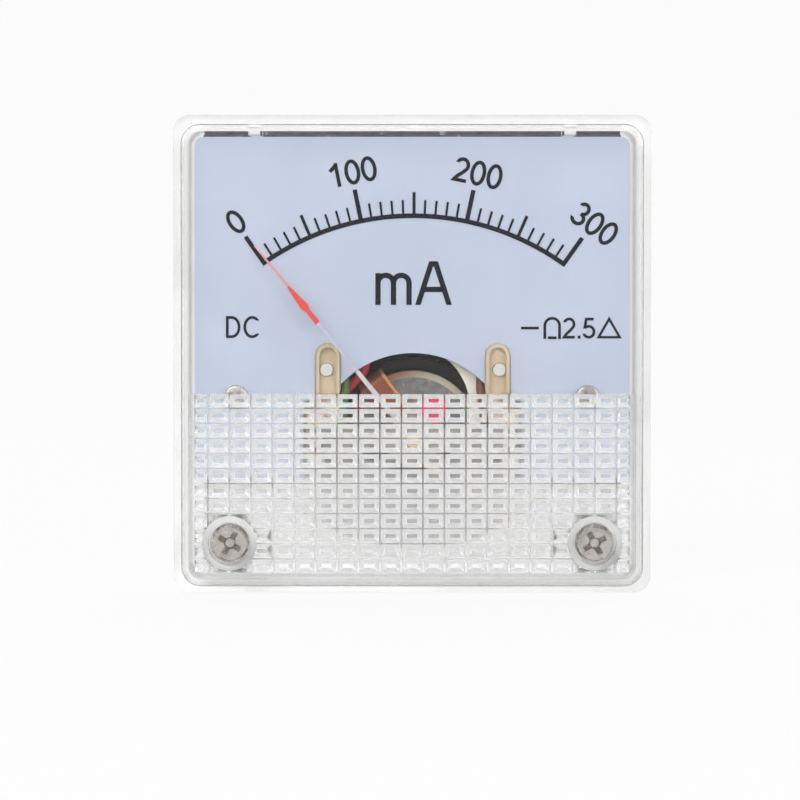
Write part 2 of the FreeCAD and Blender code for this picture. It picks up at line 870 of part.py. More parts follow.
def front_bridge():
    """Strip across the columns with a boss for the lever and a stop pin for each end of travel."""
    strip = block(
        -bridge_half_length, bridge_half_length, bridge_front, bridge_back,
        -bridge_half_height, bridge_half_height,
    )
    pieces = [
        rod(bridge_disc_radius, bridge_front, bridge_back),
        rod(boss_radius, bridge_front, bridge_back + boss_height),
    ]
    touch = balance_width / 2 + stop_pin_radius + stop_clearance
    lead = math.degrees(math.asin(touch / stop_radius))
    for angle in (zero_angle - travel_below_zero - lead, zero_angle + travel + lead):
        lug = block(
            -stop_lug_half_width, stop_lug_half_width, bridge_front, bridge_back,
            0, stop_radius + stop_lug_half_width,
        )
        pin = rod(stop_pin_radius, bridge_front, stop_end, 0, stop_radius)
        pieces.append(turned(fuse(lug, pin), angle + 180))
    bridge = fuse(strip, *pieces)
    bridge = bridge.cut(rod(
        jewel_screw_radius + thread_clearance, bridge_front, bridge_back + boss_height
    ))
    for side in (-1, 1):
        hole = bridge_screw_radius + shank_clearance
        bridge = bridge.cut(rod(hole, bridge_front, bridge_back, side * bridge_screw_offset))
    return at_axis(bridge)


def bridge_screw(side, turn):
    return pan_screw(
        axis_x + side * bridge_screw_offset, axis_z, bridge_front, bridge_head_radius,
        bridge_head_height, bridge_screw_radius, bridge_screw_length, turn,
    )


def hairspring(start):
    """A flat spiral of half turns round its collet, which starts straight up."""
    half = spring_thickness / 2
    end = start + spring_height
    collet = rod(collet_radius, start, end).cut(rod(spindle_radius, start, end))
    turns = [block(-half, half, start, end, collet_radius - half, spring_inner_radius + half)]
    for index in range(spring_half_turns):
        radius = spring_inner_radius + index * spring_growth
        facing = -90 if index % 2 else 90
        arc = sector(radius - half, radius + half, start, end, facing, 90)
        turns.append(arc.translated(Vector(0, 0, spring_growth * (index % 2))))
    return at_axis(fuse(collet, *turns))


def beside_spring(start, end, inner):
    """A post drawn from the given distance to just past the outer end of a hairspring."""
    way = -1 if spring_half_turns % 2 else 1
    outer = spring_reach + spring_thickness / 2 + tab_width
    low, high = span(way, inner, outer)
    return block(-tab_width / 2, tab_width / 2, start, end, low, high)


def zero_adjust_lever():
    """Lever about the bridge's boss: an arm to turn it by and a tab that carries the front spring."""
    hub = rod(lever_hub_radius, lever_front, lever_back)
    arm = block(-lever_width / 2, lever_width / 2, lever_front, lever_back, 0, lever_reach)
    arm = fuse(arm, rod(lever_width / 2, lever_front, lever_back, 0, lever_reach))
    foot = beside_spring(lever_front, lever_back, 0)
    tab = beside_spring(lever_front, front_spring_back, spring_reach + spring_thickness / 2)
    lever = fuse(hub, turned(arm, lever_angle), foot, tab)
    return at_axis(lever.cut(rod(boss_radius + lever_clearance, lever_front, lever_back)))


def rear_spring_tab():
    inner = spring_reach + spring_thickness / 2
    return at_axis(beside_spring(rear_spring_front, rear_bar_front, inner))


def pointer():
    """Flat needle with a spear near its tip, on a ring that is glued to the spindle."""
    right = [(width / 2, radius) for radius, width in pointer_outline]
    left = [(-x, radius) for x, radius in reversed(right)]
    needle = plate(right + left, pointer_front, pointer_back)
    hub = rod(balance_hub_radius, pointer_front, pointer_back)
    return fuse(hub, needle).cut(rod(spindle_radius, pointer_front, pointer_back))


def balance_cross():
    """Tail and side arms behind the pointer, which carry the balance weights."""
    half = balance_width / 2
    cross = fuse(
        rod(balance_hub_radius, pointer_back, balance_back),
        block(-half, half, pointer_back, balance_back, -tail_length, 0),
        block(-side_arm_length, side_arm_length, pointer_back, balance_back, -half, half),
    )
    return cross.cut(rod(spindle_radius, pointer_back, balance_back))


def tail_weight_place():
    """How far down the tail its weight sits, so that the pointer balances about the axis."""
    weight_mass = brass_density * math.pi * tail_weight_radius ** 2 * tail_weight_height
    return aluminium_density * (moment(pointer()) + moment(balance_cross())) / weight_mass


def tail_weight():
    end = balance_back + tail_weight_height
    return on_pointer(rod(tail_weight_radius, balance_back, end, 0, -tail_weight_place()))


def side_weight(side):
    end = balance_back + side_weight_height
    return on_pointer(rod(side_weight_radius, balance_back, end, side * side_weight_place, 0))


def terminal_stud(side):
    x = side * terminal_x
    head = rod(terminal_head_radius, lug_front - terminal_head_height, lug_front, x, terminal_z)
    shank = rod(stud_radius, lug_front, terminal_reach, x, terminal_z)
    end = [edge for edge in shank.Edges if edge.BoundBox.YMin > terminal_reach - 0.001]
    return fuse(head, shank.makeChamfer(stud_chamfer, end))


def flat_washer(start, x):
    washer = rod(washer_radius, start, start + washer_thickness, x, terminal_z)
    return washer.cut(rod(washer_bore, start, start + washer_thickness, x, terminal_z))


def spring_washer(start, x):
    """A split ring, cut through at one side."""
    end = start + spring_washer_thickness
    ring = rod(spring_washer_radius, start, end).cut(rod(spring_washer_bore, start, end))
    split = block(-spring_washer_gap / 2, spring_washer_gap / 2, start, end, 0, spring_washer_radius)
    return ring.cut(turned(split, spring_washer_split_angle)).translated(Vector(x, 0, terminal_z))


def hex_nut(start, x):
    """A hexagon nut with both faces chamfered at the corners."""
    corner = nut_across_flats / math.sqrt(3)
    points = [
        (corner * math.sin(math.radians(60 * step)), corner * math.cos(math.radians(60 * step)))
        for step in range(6)
    ]
    end = start + nut_height
    nut = plate(points, start, end)
    flats = nut_across_flats / 2
    dome = fuse(
        cone(flats, corner, start, start + nut_chamfer),
        rod(corner, start + nut_chamfer, end - nut_chamfer),
        cone(corner, flats, end - nut_chamfer, end),
    )
    nut = nut.common(dome).cut(rod(stud_radius, start, end))
    return nut.translated(Vector(x, 0, terminal_z))


def solder_lug(side):
    """A ring under the stud's head with a tail that points up."""
    x = side * terminal_x
    ring = rod(lug_radius, lug_front, rear_wall_front, x, terminal_z)
    tail = block(
        x - lug_tail_width / 2, x + lug_tail_width / 2, lug_front, rear_wall_front,
        terminal_z, lug_tip_z,
    )
    lug = fuse(ring, tail)
    return lug.cut(rod(stud_radius, lug_front, rear_wall_front, x, terminal_z))


def across_rod(radius, start, end):
    """A round bar from side to side on the shunt's axis."""
    foot = Vector(start, shunt_y, terminal_z)
    return Part.makeCylinder(radius, end - start, foot, Vector(1, 0, 0))


def shunt_bobbin():
    """A spool that lies on the rear wall between the terminal heads."""
    spool = across_rod(shunt_bobbin_radius, -shunt_half, shunt_half)
    ends = []
    for side in (-1, 1):
        low, high = span(side, shunt_half - shunt_flange_width, shunt_half)
        ends.append(across_rod(shunt_flange_radius, low, high))
    return fuse(spool, *ends)


def shunt_winding():
    half = shunt_half - shunt_flange_width
    coil = across_rod(shunt_winding_radius, -half, half)
    return coil.cut(across_rod(shunt_bobbin_radius, -half, half))


def mounting_stud(side):
    """Stud with a collar in the flange and a head in front of it; only its thread stands out."""
    x = side * mounting_offset
    front = flange_front - mounting_boss_height + mounting_head_sink
    head = rod(mounting_head_radius, front, flange_front, x, mounting_offset)
    collar = rod(mounting_collar_radius, flange_front, 0, x, mounting_offset)
    shank = rod(stud_radius, 0, mounting_reach, x, mounting_offset)
    end = [edge for edge in shank.Edges if edge.BoundBox.YMin > mounting_reach - 0.001]
    return fuse(head, collar, shank.makeChamfer(stud_chamfer, end))


def lead(points):
    """An insulated wire: straight runs joined by tangent arcs along a hand-chosen route."""
    corners = [Vector(*point) for point in points]
    edges = []
    here = corners[0]
    for before, corner, after in zip(corners, corners[1:], corners[2:]):
        arriving = corner - before
        leaving = after - corner
        shorter = min(arriving.Length, leaving.Length)
        half_turn = arriving.getAngle(leaving) / 2
        arriving.normalize()
        leaving.normalize()
        bend = min(lead_bend_most, lead_bend_share * shorter / math.tan(half_turn))
        cut_back = bend * math.tan(half_turn)
        start = corner - arriving * cut_back
        end = corner + leaving * cut_back
        inward = leaving - arriving
        inward.normalize()
        middle = corner + inward * (bend / math.cos(half_turn) - bend)
        edges.append(Part.makeLine(here, start))
        edges.append(Part.Arc(start, middle, end).toShape())
        here = end
    edges.append(Part.makeLine(here, corners[-1]))
    path = Part.Wire(edges)
    ring = Part.Wire(Part.makeCircle(lead_radius, corners[0], corners[1] - corners[0]))
    return path.makePipeShell([ring], True, False)


def from_lug(side):
    """The first two points of a lead, which lies along the front of a solder lug's tail."""
    y = lug_front - lead_radius
    over_head = terminal_z + terminal_head_radius + lead_over_head
    return [(side * terminal_x, y, lug_tip_z), (side * terminal_x, y, over_head)]


def part_way(start, end, share):
    return start + share * (end - start)


def on_ring(angle):
    """A point of the red lead's route on the ring's face. The angle is clockwise from straight up."""
    radius = ring_radius - red_lead_inset
    across = radius * math.sin(math.radians(angle))
    up = radius * math.cos(math.radians(angle))
    return (axis_x + across, core_front - lead_radius - glue_gap, axis_z + up)


def red_lead():
    """From the left terminal, down the ring's left face and round below it to the rear spring tab."""
    face = core_front - lead_radius - glue_gap
    below = axis_z - ring_radius - 2 * lead_radius
    tab_y = rear_bar_front - lead_radius - glue_gap
    tab_end = axis_z - spring_reach - spring_thickness / 2 - tab_width
    turn_y = part_way(face, lug_front, lead_turn_share)
    exit_y = part_way(core_front, core_back, red_lead_exit_share)
    down = [
        (red_lead_inside - terminal_x, turn_y, terminal_z - lead_radius),
        (red_lead_entry_x, face, red_lead_entry_z),
    ]
    under = [
        (red_lead_exit_x, face, below),
        (red_lead_exit_x + red_lead_exit_step, exit_y, below),
        (red_lead_exit_x / 2, tab_y, below + red_lead_rise),
        (axis_x, tab_y, below + red_lead_run),
        (axis_x, tab_y, tab_end),
    ]
    return lead(from_lug(-1) + down + [on_ring(angle) for angle in red_lead_angles] + under)


def beside_ear(side):
    return axis_x + side * (ear_offset - ear_width / 2 - lead_radius - lead_clearance)


def past_ear(side):
    """The end of a lead that comes down beside an ear, behind the dial, and forward to the bridge."""
    behind_dial = dial_back + lead_radius + lead_clearance
    on_bridge = bridge_back + lead_radius
    pad = axis_x + side * bridge_pad_offset
    return [
        (beside_ear(side), behind_dial, past_ear_top),
        (beside_ear(side), behind_dial, past_ear_bottom),
        (pad, on_bridge, axis_z + pad_above),
        (pad, on_bridge, axis_z - bridge_half_height / 2),
    ]


def green_lead():
    """From the right terminal, behind the dial to the left ear and forward to the bridge."""
    behind_dial = dial_back + lead_radius + lead_clearance
    turn_y = part_way(behind_dial, lug_front, lead_turn_share)
    return lead(from_lug(1) + [
        (terminal_x - green_lead_inside, turn_y, terminal_z + green_lead_rise),
        (green_lead_cross_x, behind_dial, green_lead_cross_z),
        (beside_ear(-1) + green_lead_turn_x, behind_dial, green_lead_turn_z),
    ] + past_ear(-1))


def brown_lead():
    """From the shunt's right end, behind the dial and past the right ear to the bridge."""
    flange = shunt_half - shunt_flange_width / 2
    start_y = shunt_y - shunt_flange_radius
    behind_dial = dial_back + lead_radius + lead_clearance
    turn_y = start_y - brown_lead_run
    return lead([
        (flange, start_y, terminal_z),
        (flange, turn_y, terminal_z),
        (
            flange - brown_lead_inside,
            part_way(behind_dial, turn_y, lead_turn_share),
            terminal_z - brown_lead_drop,
        ),
    ] + past_ear(1))


def save(name, shape):
    shape.exportStep("parts/" + name + ".step")


def build():
    save("rear_case", rear_case())
    save("front_cover", front_cover())
    save("dial_plate", dial_plate())
    save("dial_graduations", dial_graduations())
    save("movement_frame", movement_frame())
    save("yoke_ring", yoke_ring())
    save("core_magnet", core_magnet())
    save("front_bridge", front_bridge())
    save("front_jewel_screw", front_jewel_screw())
    save("rear_jewel_screw", rear_jewel_screw())
    save("front_jewel", jewel(front_jewel_back - jewel_height, True))
    save("rear_jewel", jewel(rear_jewel_front, False))
    save("front_hairspring", hairspring(front_spring_front))
    save("rear_hairspring", hairspring(rear_spring_front))
    save("rear_spring_tab", rear_spring_tab())
    save("zero_adjust_lever", zero_adjust_lever())
    save("coil_former", coil_former())
    save("coil_winding", coil_winding())
    save("front_spindle", front_spindle())
    save("rear_spindle", rear_spindle())
    save("pointer", on_pointer(pointer()))
    save("balance_cross", on_pointer(balance_cross()))
    save("tail_weight", tail_weight())
    save("shunt_bobbin", shunt_bobbin())
    save("shunt_winding", shunt_winding())
    save("red_lead", red_lead())
    save("green_lead", green_lead())
    save("brown_lead", brown_lead())
    for name, side, turn in (("left", -1, screw_turn_left), ("right", 1, screw_turn_right)):
        x = side * terminal_x
        save("cover_screw_" + name, cover_screw(side, turn))
        save("dial_screw_" + name, dial_screw(side, turn))
        save("bridge_screw_" + name, bridge_screw(side, turn))
        save("core_wedge_" + name, core_wedge(side))
        save("side_weight_" + name, side_weight(side))
        save("terminal_stud_" + name, terminal_stud(side))
        outer = terminal_seat + washer_thickness
        save("inner_washer_" + name, flat_washer(terminal_seat, x))
        save("outer_washer_" + name, flat_washer(outer, x))
        save("spring_washer_" + name, spring_washer(outer + washer_thickness, x))
        save("terminal_nut_" + name, hex_nut(outer + washer_thickness + spring_washer_thickness, x))
        save("solder_lug_" + name, solder_lug(side))
        save("mounting_stud_" + name, mounting_stud(side))


os.makedirs("parts", exist_ok=True)
build()
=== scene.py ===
import json
import math

import bpy
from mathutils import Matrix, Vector


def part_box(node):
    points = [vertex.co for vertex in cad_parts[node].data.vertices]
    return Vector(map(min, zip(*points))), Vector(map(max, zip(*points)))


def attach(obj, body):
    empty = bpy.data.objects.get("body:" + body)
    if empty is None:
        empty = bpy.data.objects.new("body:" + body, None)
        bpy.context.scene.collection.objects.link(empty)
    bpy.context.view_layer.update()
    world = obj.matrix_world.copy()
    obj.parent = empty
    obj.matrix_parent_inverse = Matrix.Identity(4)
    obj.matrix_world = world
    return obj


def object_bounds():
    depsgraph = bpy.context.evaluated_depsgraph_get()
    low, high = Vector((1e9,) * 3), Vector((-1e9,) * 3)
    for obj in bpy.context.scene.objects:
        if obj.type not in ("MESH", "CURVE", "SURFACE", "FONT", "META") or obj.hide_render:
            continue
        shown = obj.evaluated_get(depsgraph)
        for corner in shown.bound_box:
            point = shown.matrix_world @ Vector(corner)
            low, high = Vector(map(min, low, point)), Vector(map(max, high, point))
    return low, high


# Looks of a square moving-coil panel meter. Everything here is in metres, in the model's own frame:
# X right, Z up and Y depth, with the window facing -Y and the panel's front at y = 0.

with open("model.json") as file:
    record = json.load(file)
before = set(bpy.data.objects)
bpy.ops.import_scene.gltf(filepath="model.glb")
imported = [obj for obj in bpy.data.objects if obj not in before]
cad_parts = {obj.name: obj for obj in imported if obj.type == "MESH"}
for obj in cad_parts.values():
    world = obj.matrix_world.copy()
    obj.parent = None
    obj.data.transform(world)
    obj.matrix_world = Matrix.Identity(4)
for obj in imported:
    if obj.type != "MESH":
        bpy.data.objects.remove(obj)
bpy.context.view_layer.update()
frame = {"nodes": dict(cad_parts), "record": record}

MM = 0.001

# The pointer's axis and the dial, taken from the model's nodes
ring_low, ring_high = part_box("yoke_ring")
dial_low, dial_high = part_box("dial_plate")
cover_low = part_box("front_cover")[0]
AXIS = ((ring_low + ring_high) / 2).xz
DIAL_FRONT = dial_low.y
FLOOR_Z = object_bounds()[0].z

# Camera
CAMERA_PLACE = (0.0, -390.0 * MM, 8.9 * MM)
CAMERA_PITCH = -1.96
CAMERA_TURN = 0.17
LENS_MM = 184.6
SENSOR_MM = 36.0

# Lettering on the dial. The numbers' places are in millimetres.
PRINT_DEPTH = 0.03 * MM
SCALE_CENTRE = Vector((0.07, -11.35)) * MM
NUMBER_HEIGHT = 2.27 * MM
NUMBER_STROKE = 0.34 * MM
NUMBER_PLACES = [
    ("0", -16.55, 12.45),
    ("100", -5.56, 17.12),
    ("200", 6.19, 17.0),
    ("300", 17.12, 12.26),
]
UNIT_PLACE = (0.02 * MM, 6.7 * MM)
UNIT_HEIGHT = 4.1 * MM
UNIT_STROKE = 0.5 * MM
CURRENT_PLACE = (-15.9 * MM, 2.57 * MM)
CURRENT_HEIGHT = 2.05 * MM

# Signs at the dial's right: a bar, an arch over a short pole, the accuracy class and a triangle
SIGN_STROKE = 0.26 * MM
BAR_PLACE = (11.05 * MM, 2.48 * MM)
BAR_HALF = 0.84 * MM
ARCH_PLACE = (13.14 * MM, 2.5 * MM)
ARCH_RADIUS = 0.69 * MM
ARCH_MIDDLE = 0.21 * MM
ARCH_FOOT = -1.05 * MM
POLE_HALF = 0.41 * MM
POLE_HEIGHT = -0.93 * MM
CLASS_PLACE = (15.67 * MM, 2.48 * MM)
CLASS_HEIGHT = 1.95 * MM
TRIANGLE_PLACE = (18.49 * MM, 2.5 * MM)
TRIANGLE_STROKE = 0.23 * MM
TRIANGLE_HALF = 0.99 * MM
TRIANGLE_LOW = -0.88 * MM
TRIANGLE_TOP = 0.84 * MM

# A stroke steeper than this ends in a level cut, and no mitre grows past the limit
STEEP = 0.7
MITRE_LIMIT = 0.45

# Colours as they appear under plain light
NAVY = (0.007, 0.0085, 0.018)
DIAL_BLUE = (0.505, 0.562, 0.685)

# The inside of the round cup, and the floor of the square hollow in front of it, where the white case is
# painted in shade
CUP_RADIUS = 18.3 * MM
CUP_BACK = 13.0 * MM
HOLLOW_HALF = 20.7 * MM
HOLLOW_FRONT = -2.3 * MM
HOLLOW_BACK = -0.5 * MM

# The frame's plate goes on round the ring, with an opening that is off its centre. It fills the cup's
# mouth below the dial, and is no wider than the frame behind the dial. Its two ends are given in
# degrees, clockwise from the top.
PLATE_FRONT = -2.75 * MM
PLATE_BACK = -2.3 * MM
PLATE_RADIUS = 18.0 * MM
PLATE_HALF_WIDTH = 10.8 * MM
PLATE_START = 59.5
PLATE_END = 299.0
PLATE_STEPS = 96
OPENING_CENTRE = Vector((-0.5, -5.1)) * MM
OPENING_RADIUS = 5.95 * MM
PLATE_EDGE = 0.12 * MM

# The frame changes colour at the front of its web and at the crescent's edge, where painted light makes
# the web pale cream, and low behind the ribs, where painted shade makes it greyish.
# Radii here are in millimetres from the pointer's axis, and are taken as shares of the ring's reach.
WEB_FRONT = -2.9 * MM
CRESCENT_RADIUS = 8.6
CRESCENT_END = 9.0
RING_REACH = 10.0
LOW_FRAME = -9.5 * MM

# Threads stand a little proud of the plain studs, which stay plain for a margin at each end. A ridge's
# half width is a share of the pitch, and its two feet sink a little into the stud.
THREAD_PITCH = 0.5 * MM
THREAD_RISE = 0.05 * MM
THREAD_RADIUS = 1.5 * MM
THREAD_MARGIN = 0.25 * MM
THREAD_SINK = 0.004 * MM
RIDGE_HALF = 0.4
THREAD_STEPS = 24

# Nodes whose names start like this have a cleaner plating than the screws
PLAIN_HARDWARE = ("mounting_stud", "terminal_nut", "outer_washer", "inner_washer", "spring_washer")

# A thin collar closes the slot in the dial round each of the frame's ears
EAR_OFFSET = 7.97 * MM
COLLAR_RADIUS = 1.125 * MM
COLLAR_WIDTH = 0.1 * MM
COLLAR_TOP = -0.125 * MM
COLLAR_FOOT = -3.45 * MM
COLLAR_DEPTHS = (0.05 * MM, 0.45 * MM)

# Painted shadow in the narrow gap above the dial, which the cover's two hooks interrupt
GAP_HEIGHT = 0.45 * MM
GAP_BACK = -1.5 * MM
GAP_HALF_LENGTH = 19.6 * MM
HOOK_X = 14.65 * MM
HOOK_HALF_WIDTH = 0.58 * MM

# The ribs inside the window, which start a little in front of its back
WINDOW_DEPTH = 1.0 * MM
RIB_TOP = -3.5 * MM

# The core's face ends at its bevel, in millimetres from the axis. The bevel's colours are painted light
# and shade, darker on the left and brighter to the right. They run from left to right, with this place in
# them at x = 0 and this much more per metre.
FACE_RADIUS = 5.66
BEVEL_START = 5.72
BEVEL_LIGHT_MIDDLE = 0.45
BEVEL_LIGHT_SLOPE = 90.0

# The pointer's colours, each from its radius in millimetres out to the next one's
POINTER_REACH = 25.0
POINTER_BANDS = [
    (0.0, (0.62, 0.61, 0.64)),
    (8.2, (0.56, 0.6, 0.69)),
    (14.0, (0.82, 0.055, 0.035)),
    (18.4, (0.8, 0.3, 0.28)),
    (22.4, (0.85, 0.45, 0.42)),
]

# The coil leans a little less than the pointer. Its colours, painted shade on its left and a painted
# highlight at its right edge, run across it, over this width.
COIL_LEAN = math.radians(36.2)
COIL_WIDTH = 4 * MM
WIRE_PITCH = 0.08 * MM

# The floor curves up into a backdrop
STAGE_FRONT = -0.42
STAGE_BACK = 1.1
STAGE_BEND = 0.4
STAGE_BEND_STEPS = 12
STAGE_TOP = 1.6
STAGE_HALF_WIDTH = 1.8

# The stage's glow: its strength, how much of it glass takes away, the share that every ray sees, and
# what the camera, metal and glass see on top of that
GLOW_STRENGTH = 1.04
GLOW_LOST_IN_GLASS = 0.25
GLOW_SHARE = 0.5
GLOW_SEEN = 0.35

# The world's level, and what the camera and glass see on top of that
WORLD_LEVEL = 0.5
WORLD_SEEN = 0.3

# Each lamp's name, place, size and power in watts
LAMPS = [
    ("key_lamp", (-0.35, -0.9, 0.4), (0.5, 0.5), 2.9),
    ("fill_lamp", (0.55, -0.9, 0.08), (0.5, 0.5), 2.3),
    ("top_lamp", (0.1, 0.1, 0.9), (0.7, 0.4), 0.5),
]

# Each node's material slot
SLOTS = {part["node"]: part["material_slot"] for part in frame["record"]["subparts"]}


def grey(value, warmth=0.0):
    """A grey of the given brightness, a little warmer where warmth is above zero."""
    return (value * (1 + warmth), value, value * (1 - warmth))


# Material helpers

def link(tree, output, target):
    tree.links.new(output, target)


def add(tree, kind, **settings):
    """Adds a shader node and sets its properties."""
    node = tree.nodes.new(kind)
    for name, value in settings.items():
        setattr(node, name, value)
    return node


def principled(name, color, roughness, metallic=0.0):
    material = bpy.data.materials.new(name)
    material.use_nodes = True
    shader = material.node_tree.nodes["Principled BSDF"]
    shader.inputs["Base Color"].default_value = (*color, 1)
    shader.inputs["Roughness"].default_value = roughness
    shader.inputs["Metallic"].default_value = metallic
    return material, material.node_tree, shader


def object_place(tree):
    """The point's place in the object's own coordinates, which move with the body."""
    return add(tree, "ShaderNodeTexCoord").outputs["Object"]


def noise(tree, size, detail=4.0, roughness=0.55):
    """Noise whose blotches are about the given size, in metres."""
    mapping = add(tree, "ShaderNodeMapping")
    mapping.inputs["Scale"].default_value = [1 / size] * 3
    link(tree, object_place(tree), mapping.inputs["Vector"])
    texture = add(tree, "ShaderNodeTexNoise")
    texture.inputs["Scale"].default_value = 1.0
    texture.inputs["Detail"].default_value = detail
    texture.inputs["Roughness"].default_value = roughness
    link(tree, mapping.outputs["Vector"], texture.inputs["Vector"])
    return texture.outputs["Fac"]


def ramp(tree, factor, stops, interpolation="LINEAR"):
    """A colour ramp of (position, colour) stops, or (position, grey) ones."""
    node = add(tree, "ShaderNodeValToRGB")
    node.color_ramp.interpolation = interpolation
    elements = node.color_ramp.elements
    while len(elements) < len(stops):
        elements.new(0.5)
    for element, (place, color) in zip(elements, stops):
        element.position = place
        shade = color if hasattr(color, "__len__") else grey(color)
        element.color = (*shade, 1)
    link(tree, factor, node.inputs["Fac"])
    return node.outputs["Color"]


def math_node(tree, operation, first, second=None):
    node = add(tree, "ShaderNodeMath", operation=operation)
    for socket, value in zip(node.inputs, (first, second)):
        if value is None:
            continue
        if hasattr(value, "links"):
            link(tree, value, socket)
        else:
            socket.default_value = value
    return node.outputs["Value"]


def mix_colors(tree, factor, first, second, blend="MIX"):
    """Two colours mixed by a factor. Each of the three is a node's output or a plain value."""
    node = add(tree, "ShaderNodeMix", data_type="RGBA", blend_type=blend)
    sockets = (node.inputs[0], node.inputs[6], node.inputs[7])
    for socket, value in zip(sockets, (factor, first, second)):
        if hasattr(value, "links"):
            link(tree, value, socket)
        elif hasattr(value, "__len__"):
            socket.default_value = (*value, 1)
        else:
            socket.default_value = value
    return node.outputs[2]


def vary_color(tree, shader, dark, light, size, detail=4.0):
    """Colour that drifts between two shades."""
    color = ramp(tree, noise(tree, size, detail), [(0.32, dark), (0.68, light)])
    link(tree, color, shader.inputs["Base Color"])


def vary_roughness(tree, shader, low, high, size):
    value = ramp(tree, noise(tree, size, 5.0, 0.6), [(0.3, low), (0.7, high)])
    link(tree, value, shader.inputs["Roughness"])


def raise_by(tree, shader, height, depth, strength):
    """Bump of the given depth, in metres, where the height is one."""
    node = add(tree, "ShaderNodeBump")
    node.inputs["Strength"].default_value = strength
    node.inputs["Distance"].default_value = depth
    link(tree, height, node.inputs["Height"])
    link(tree, node.outputs["Normal"], shader.inputs["Normal"])


def add_bump(tree, shader, size, depth, strength, detail=4.0):
    raise_by(tree, shader, noise(tree, size, detail, 0.6), depth, strength)


def all_of(tree, *shares):
    """The product of several shares, which is one only where all of them are."""
    product = shares[0]
    for share in shares[1:]:
        product = math_node(tree, "MULTIPLY", product, share)
    return product


def is_between(tree, value, low, high):
    return all_of(
        tree,
        math_node(tree, "GREATER_THAN", value, low),
        math_node(tree, "LESS_THAN", value, high),
    )


def place_parts(tree):
    separate = add(tree, "ShaderNodeSeparateXYZ")
    link(tree, object_place(tree), separate.inputs["Vector"])
    return separate.outputs["X"], separate.outputs["Y"], separate.outputs["Z"]


def distance_from(tree, x_centre, z_centre):
    """Distance in millimetres from a line along the depth axis."""
    x, _, z = place_parts(tree)
    across = math_node(tree, "SUBTRACT", x, x_centre)
    up = math_node(tree, "SUBTRACT", z, z_centre)
    across_square = math_node(tree, "MULTIPLY", across, across)
    up_square = math_node(tree, "MULTIPLY", up, up)
    squares = math_node(tree, "ADD", across_square, up_square)
    return math_node(tree, "DIVIDE", math_node(tree, "SQRT", squares), MM)


def distance_from_axis(tree, reach):
    """Distance from the pointer's axis, as a share of a reach in millimetres."""
    return math_node(tree, "DIVIDE", distance_from(tree, AXIS.x, AXIS.y), reach)


# Materials

def moulded_skin(tree, shader, low, high):
    """The faint unevenness of a moulded surface, with its roughness between two values."""
    vary_roughness(tree, shader, low, high, 1.5 * MM)
    add_bump(tree, shader, 0.5 * MM, 0.006 * MM, 0.35)


def moulded_plastic(name, dark, light, low, high):
    """Plastic between two shades, with its roughness between two values."""
    material, tree, shader = principled(name, light, low)
    vary_color(tree, shader, dark, light, 6 * MM)
    moulded_skin(tree, shader, low, high)
    return material


def in_painted_cup_shade(tree, y):
    return all_of(
        tree,
        math_node(tree, "LESS_THAN", y, CUP_BACK),
        math_node(tree, "LESS_THAN", distance_from(tree, 0.0, 0.0), CUP_RADIUS / MM),
    )


def on_painted_hollow_shade(tree, across, y, z):
    return all_of(
        tree,
        is_between(tree, y, HOLLOW_FRONT, HOLLOW_BACK),
        math_node(tree, "LESS_THAN", across, HOLLOW_HALF),
        math_node(tree, "LESS_THAN", math_node(tree, "ABSOLUTE", z), HOLLOW_HALF),
    )


def in_painted_gap_shadow(tree, across, y, z):
    from_hook = math_node(tree, "ABSOLUTE", math_node(tree, "SUBTRACT", across, HOOK_X))
    return all_of(
        tree,
        math_node(tree, "LESS_THAN", y, GAP_BACK),
        is_between(tree, z, dial_high.z - GAP_HEIGHT, dial_high.z + GAP_HEIGHT),
        math_node(tree, "LESS_THAN", across, GAP_HALF_LENGTH),
        math_node(tree, "GREATER_THAN", from_hook, HOOK_HALF_WIDTH),
    )


def case_plastic():
    """White moulding, with painted shade inside the cup and on the hollow's floor, and a painted shadow
    in the narrow gap above the dial.
    """
    material, tree, shader = principled("white_case", (0.93, 0.925, 0.915), 0.38)
    x, y, z = place_parts(tree)
    across = math_node(tree, "ABSOLUTE", x)
    cloudy = [(0.32, (0.9, 0.895, 0.885)), (0.68, (0.95, 0.945, 0.935))]
    white = ramp(tree, noise(tree, 6 * MM), cloudy)
    # Painted shade: the hollow's floor and the inside of the cup are painted greyer than the white case
    white = mix_colors(tree, on_painted_hollow_shade(tree, across, y, z), white, (0.74, 0.73, 0.715))
    white = mix_colors(tree, in_painted_cup_shade(tree, y), white, (0.68, 0.665, 0.64))
    # Painted shadow: near-black in the gap above the dial, with a few lighter specks
    dark = [(0.3, (0.05, 0.05, 0.065)), (0.64, (0.11, 0.11, 0.13)), (0.72, 0.5)]
    shadow = ramp(tree, noise(tree, 1.1 * MM), dark)
    color = mix_colors(tree, in_painted_gap_shadow(tree, across, y, z), white, shadow)
    link(tree, color, shader.inputs["Base Color"])
    moulded_skin(tree, shader, 0.32, 0.45)
    return material


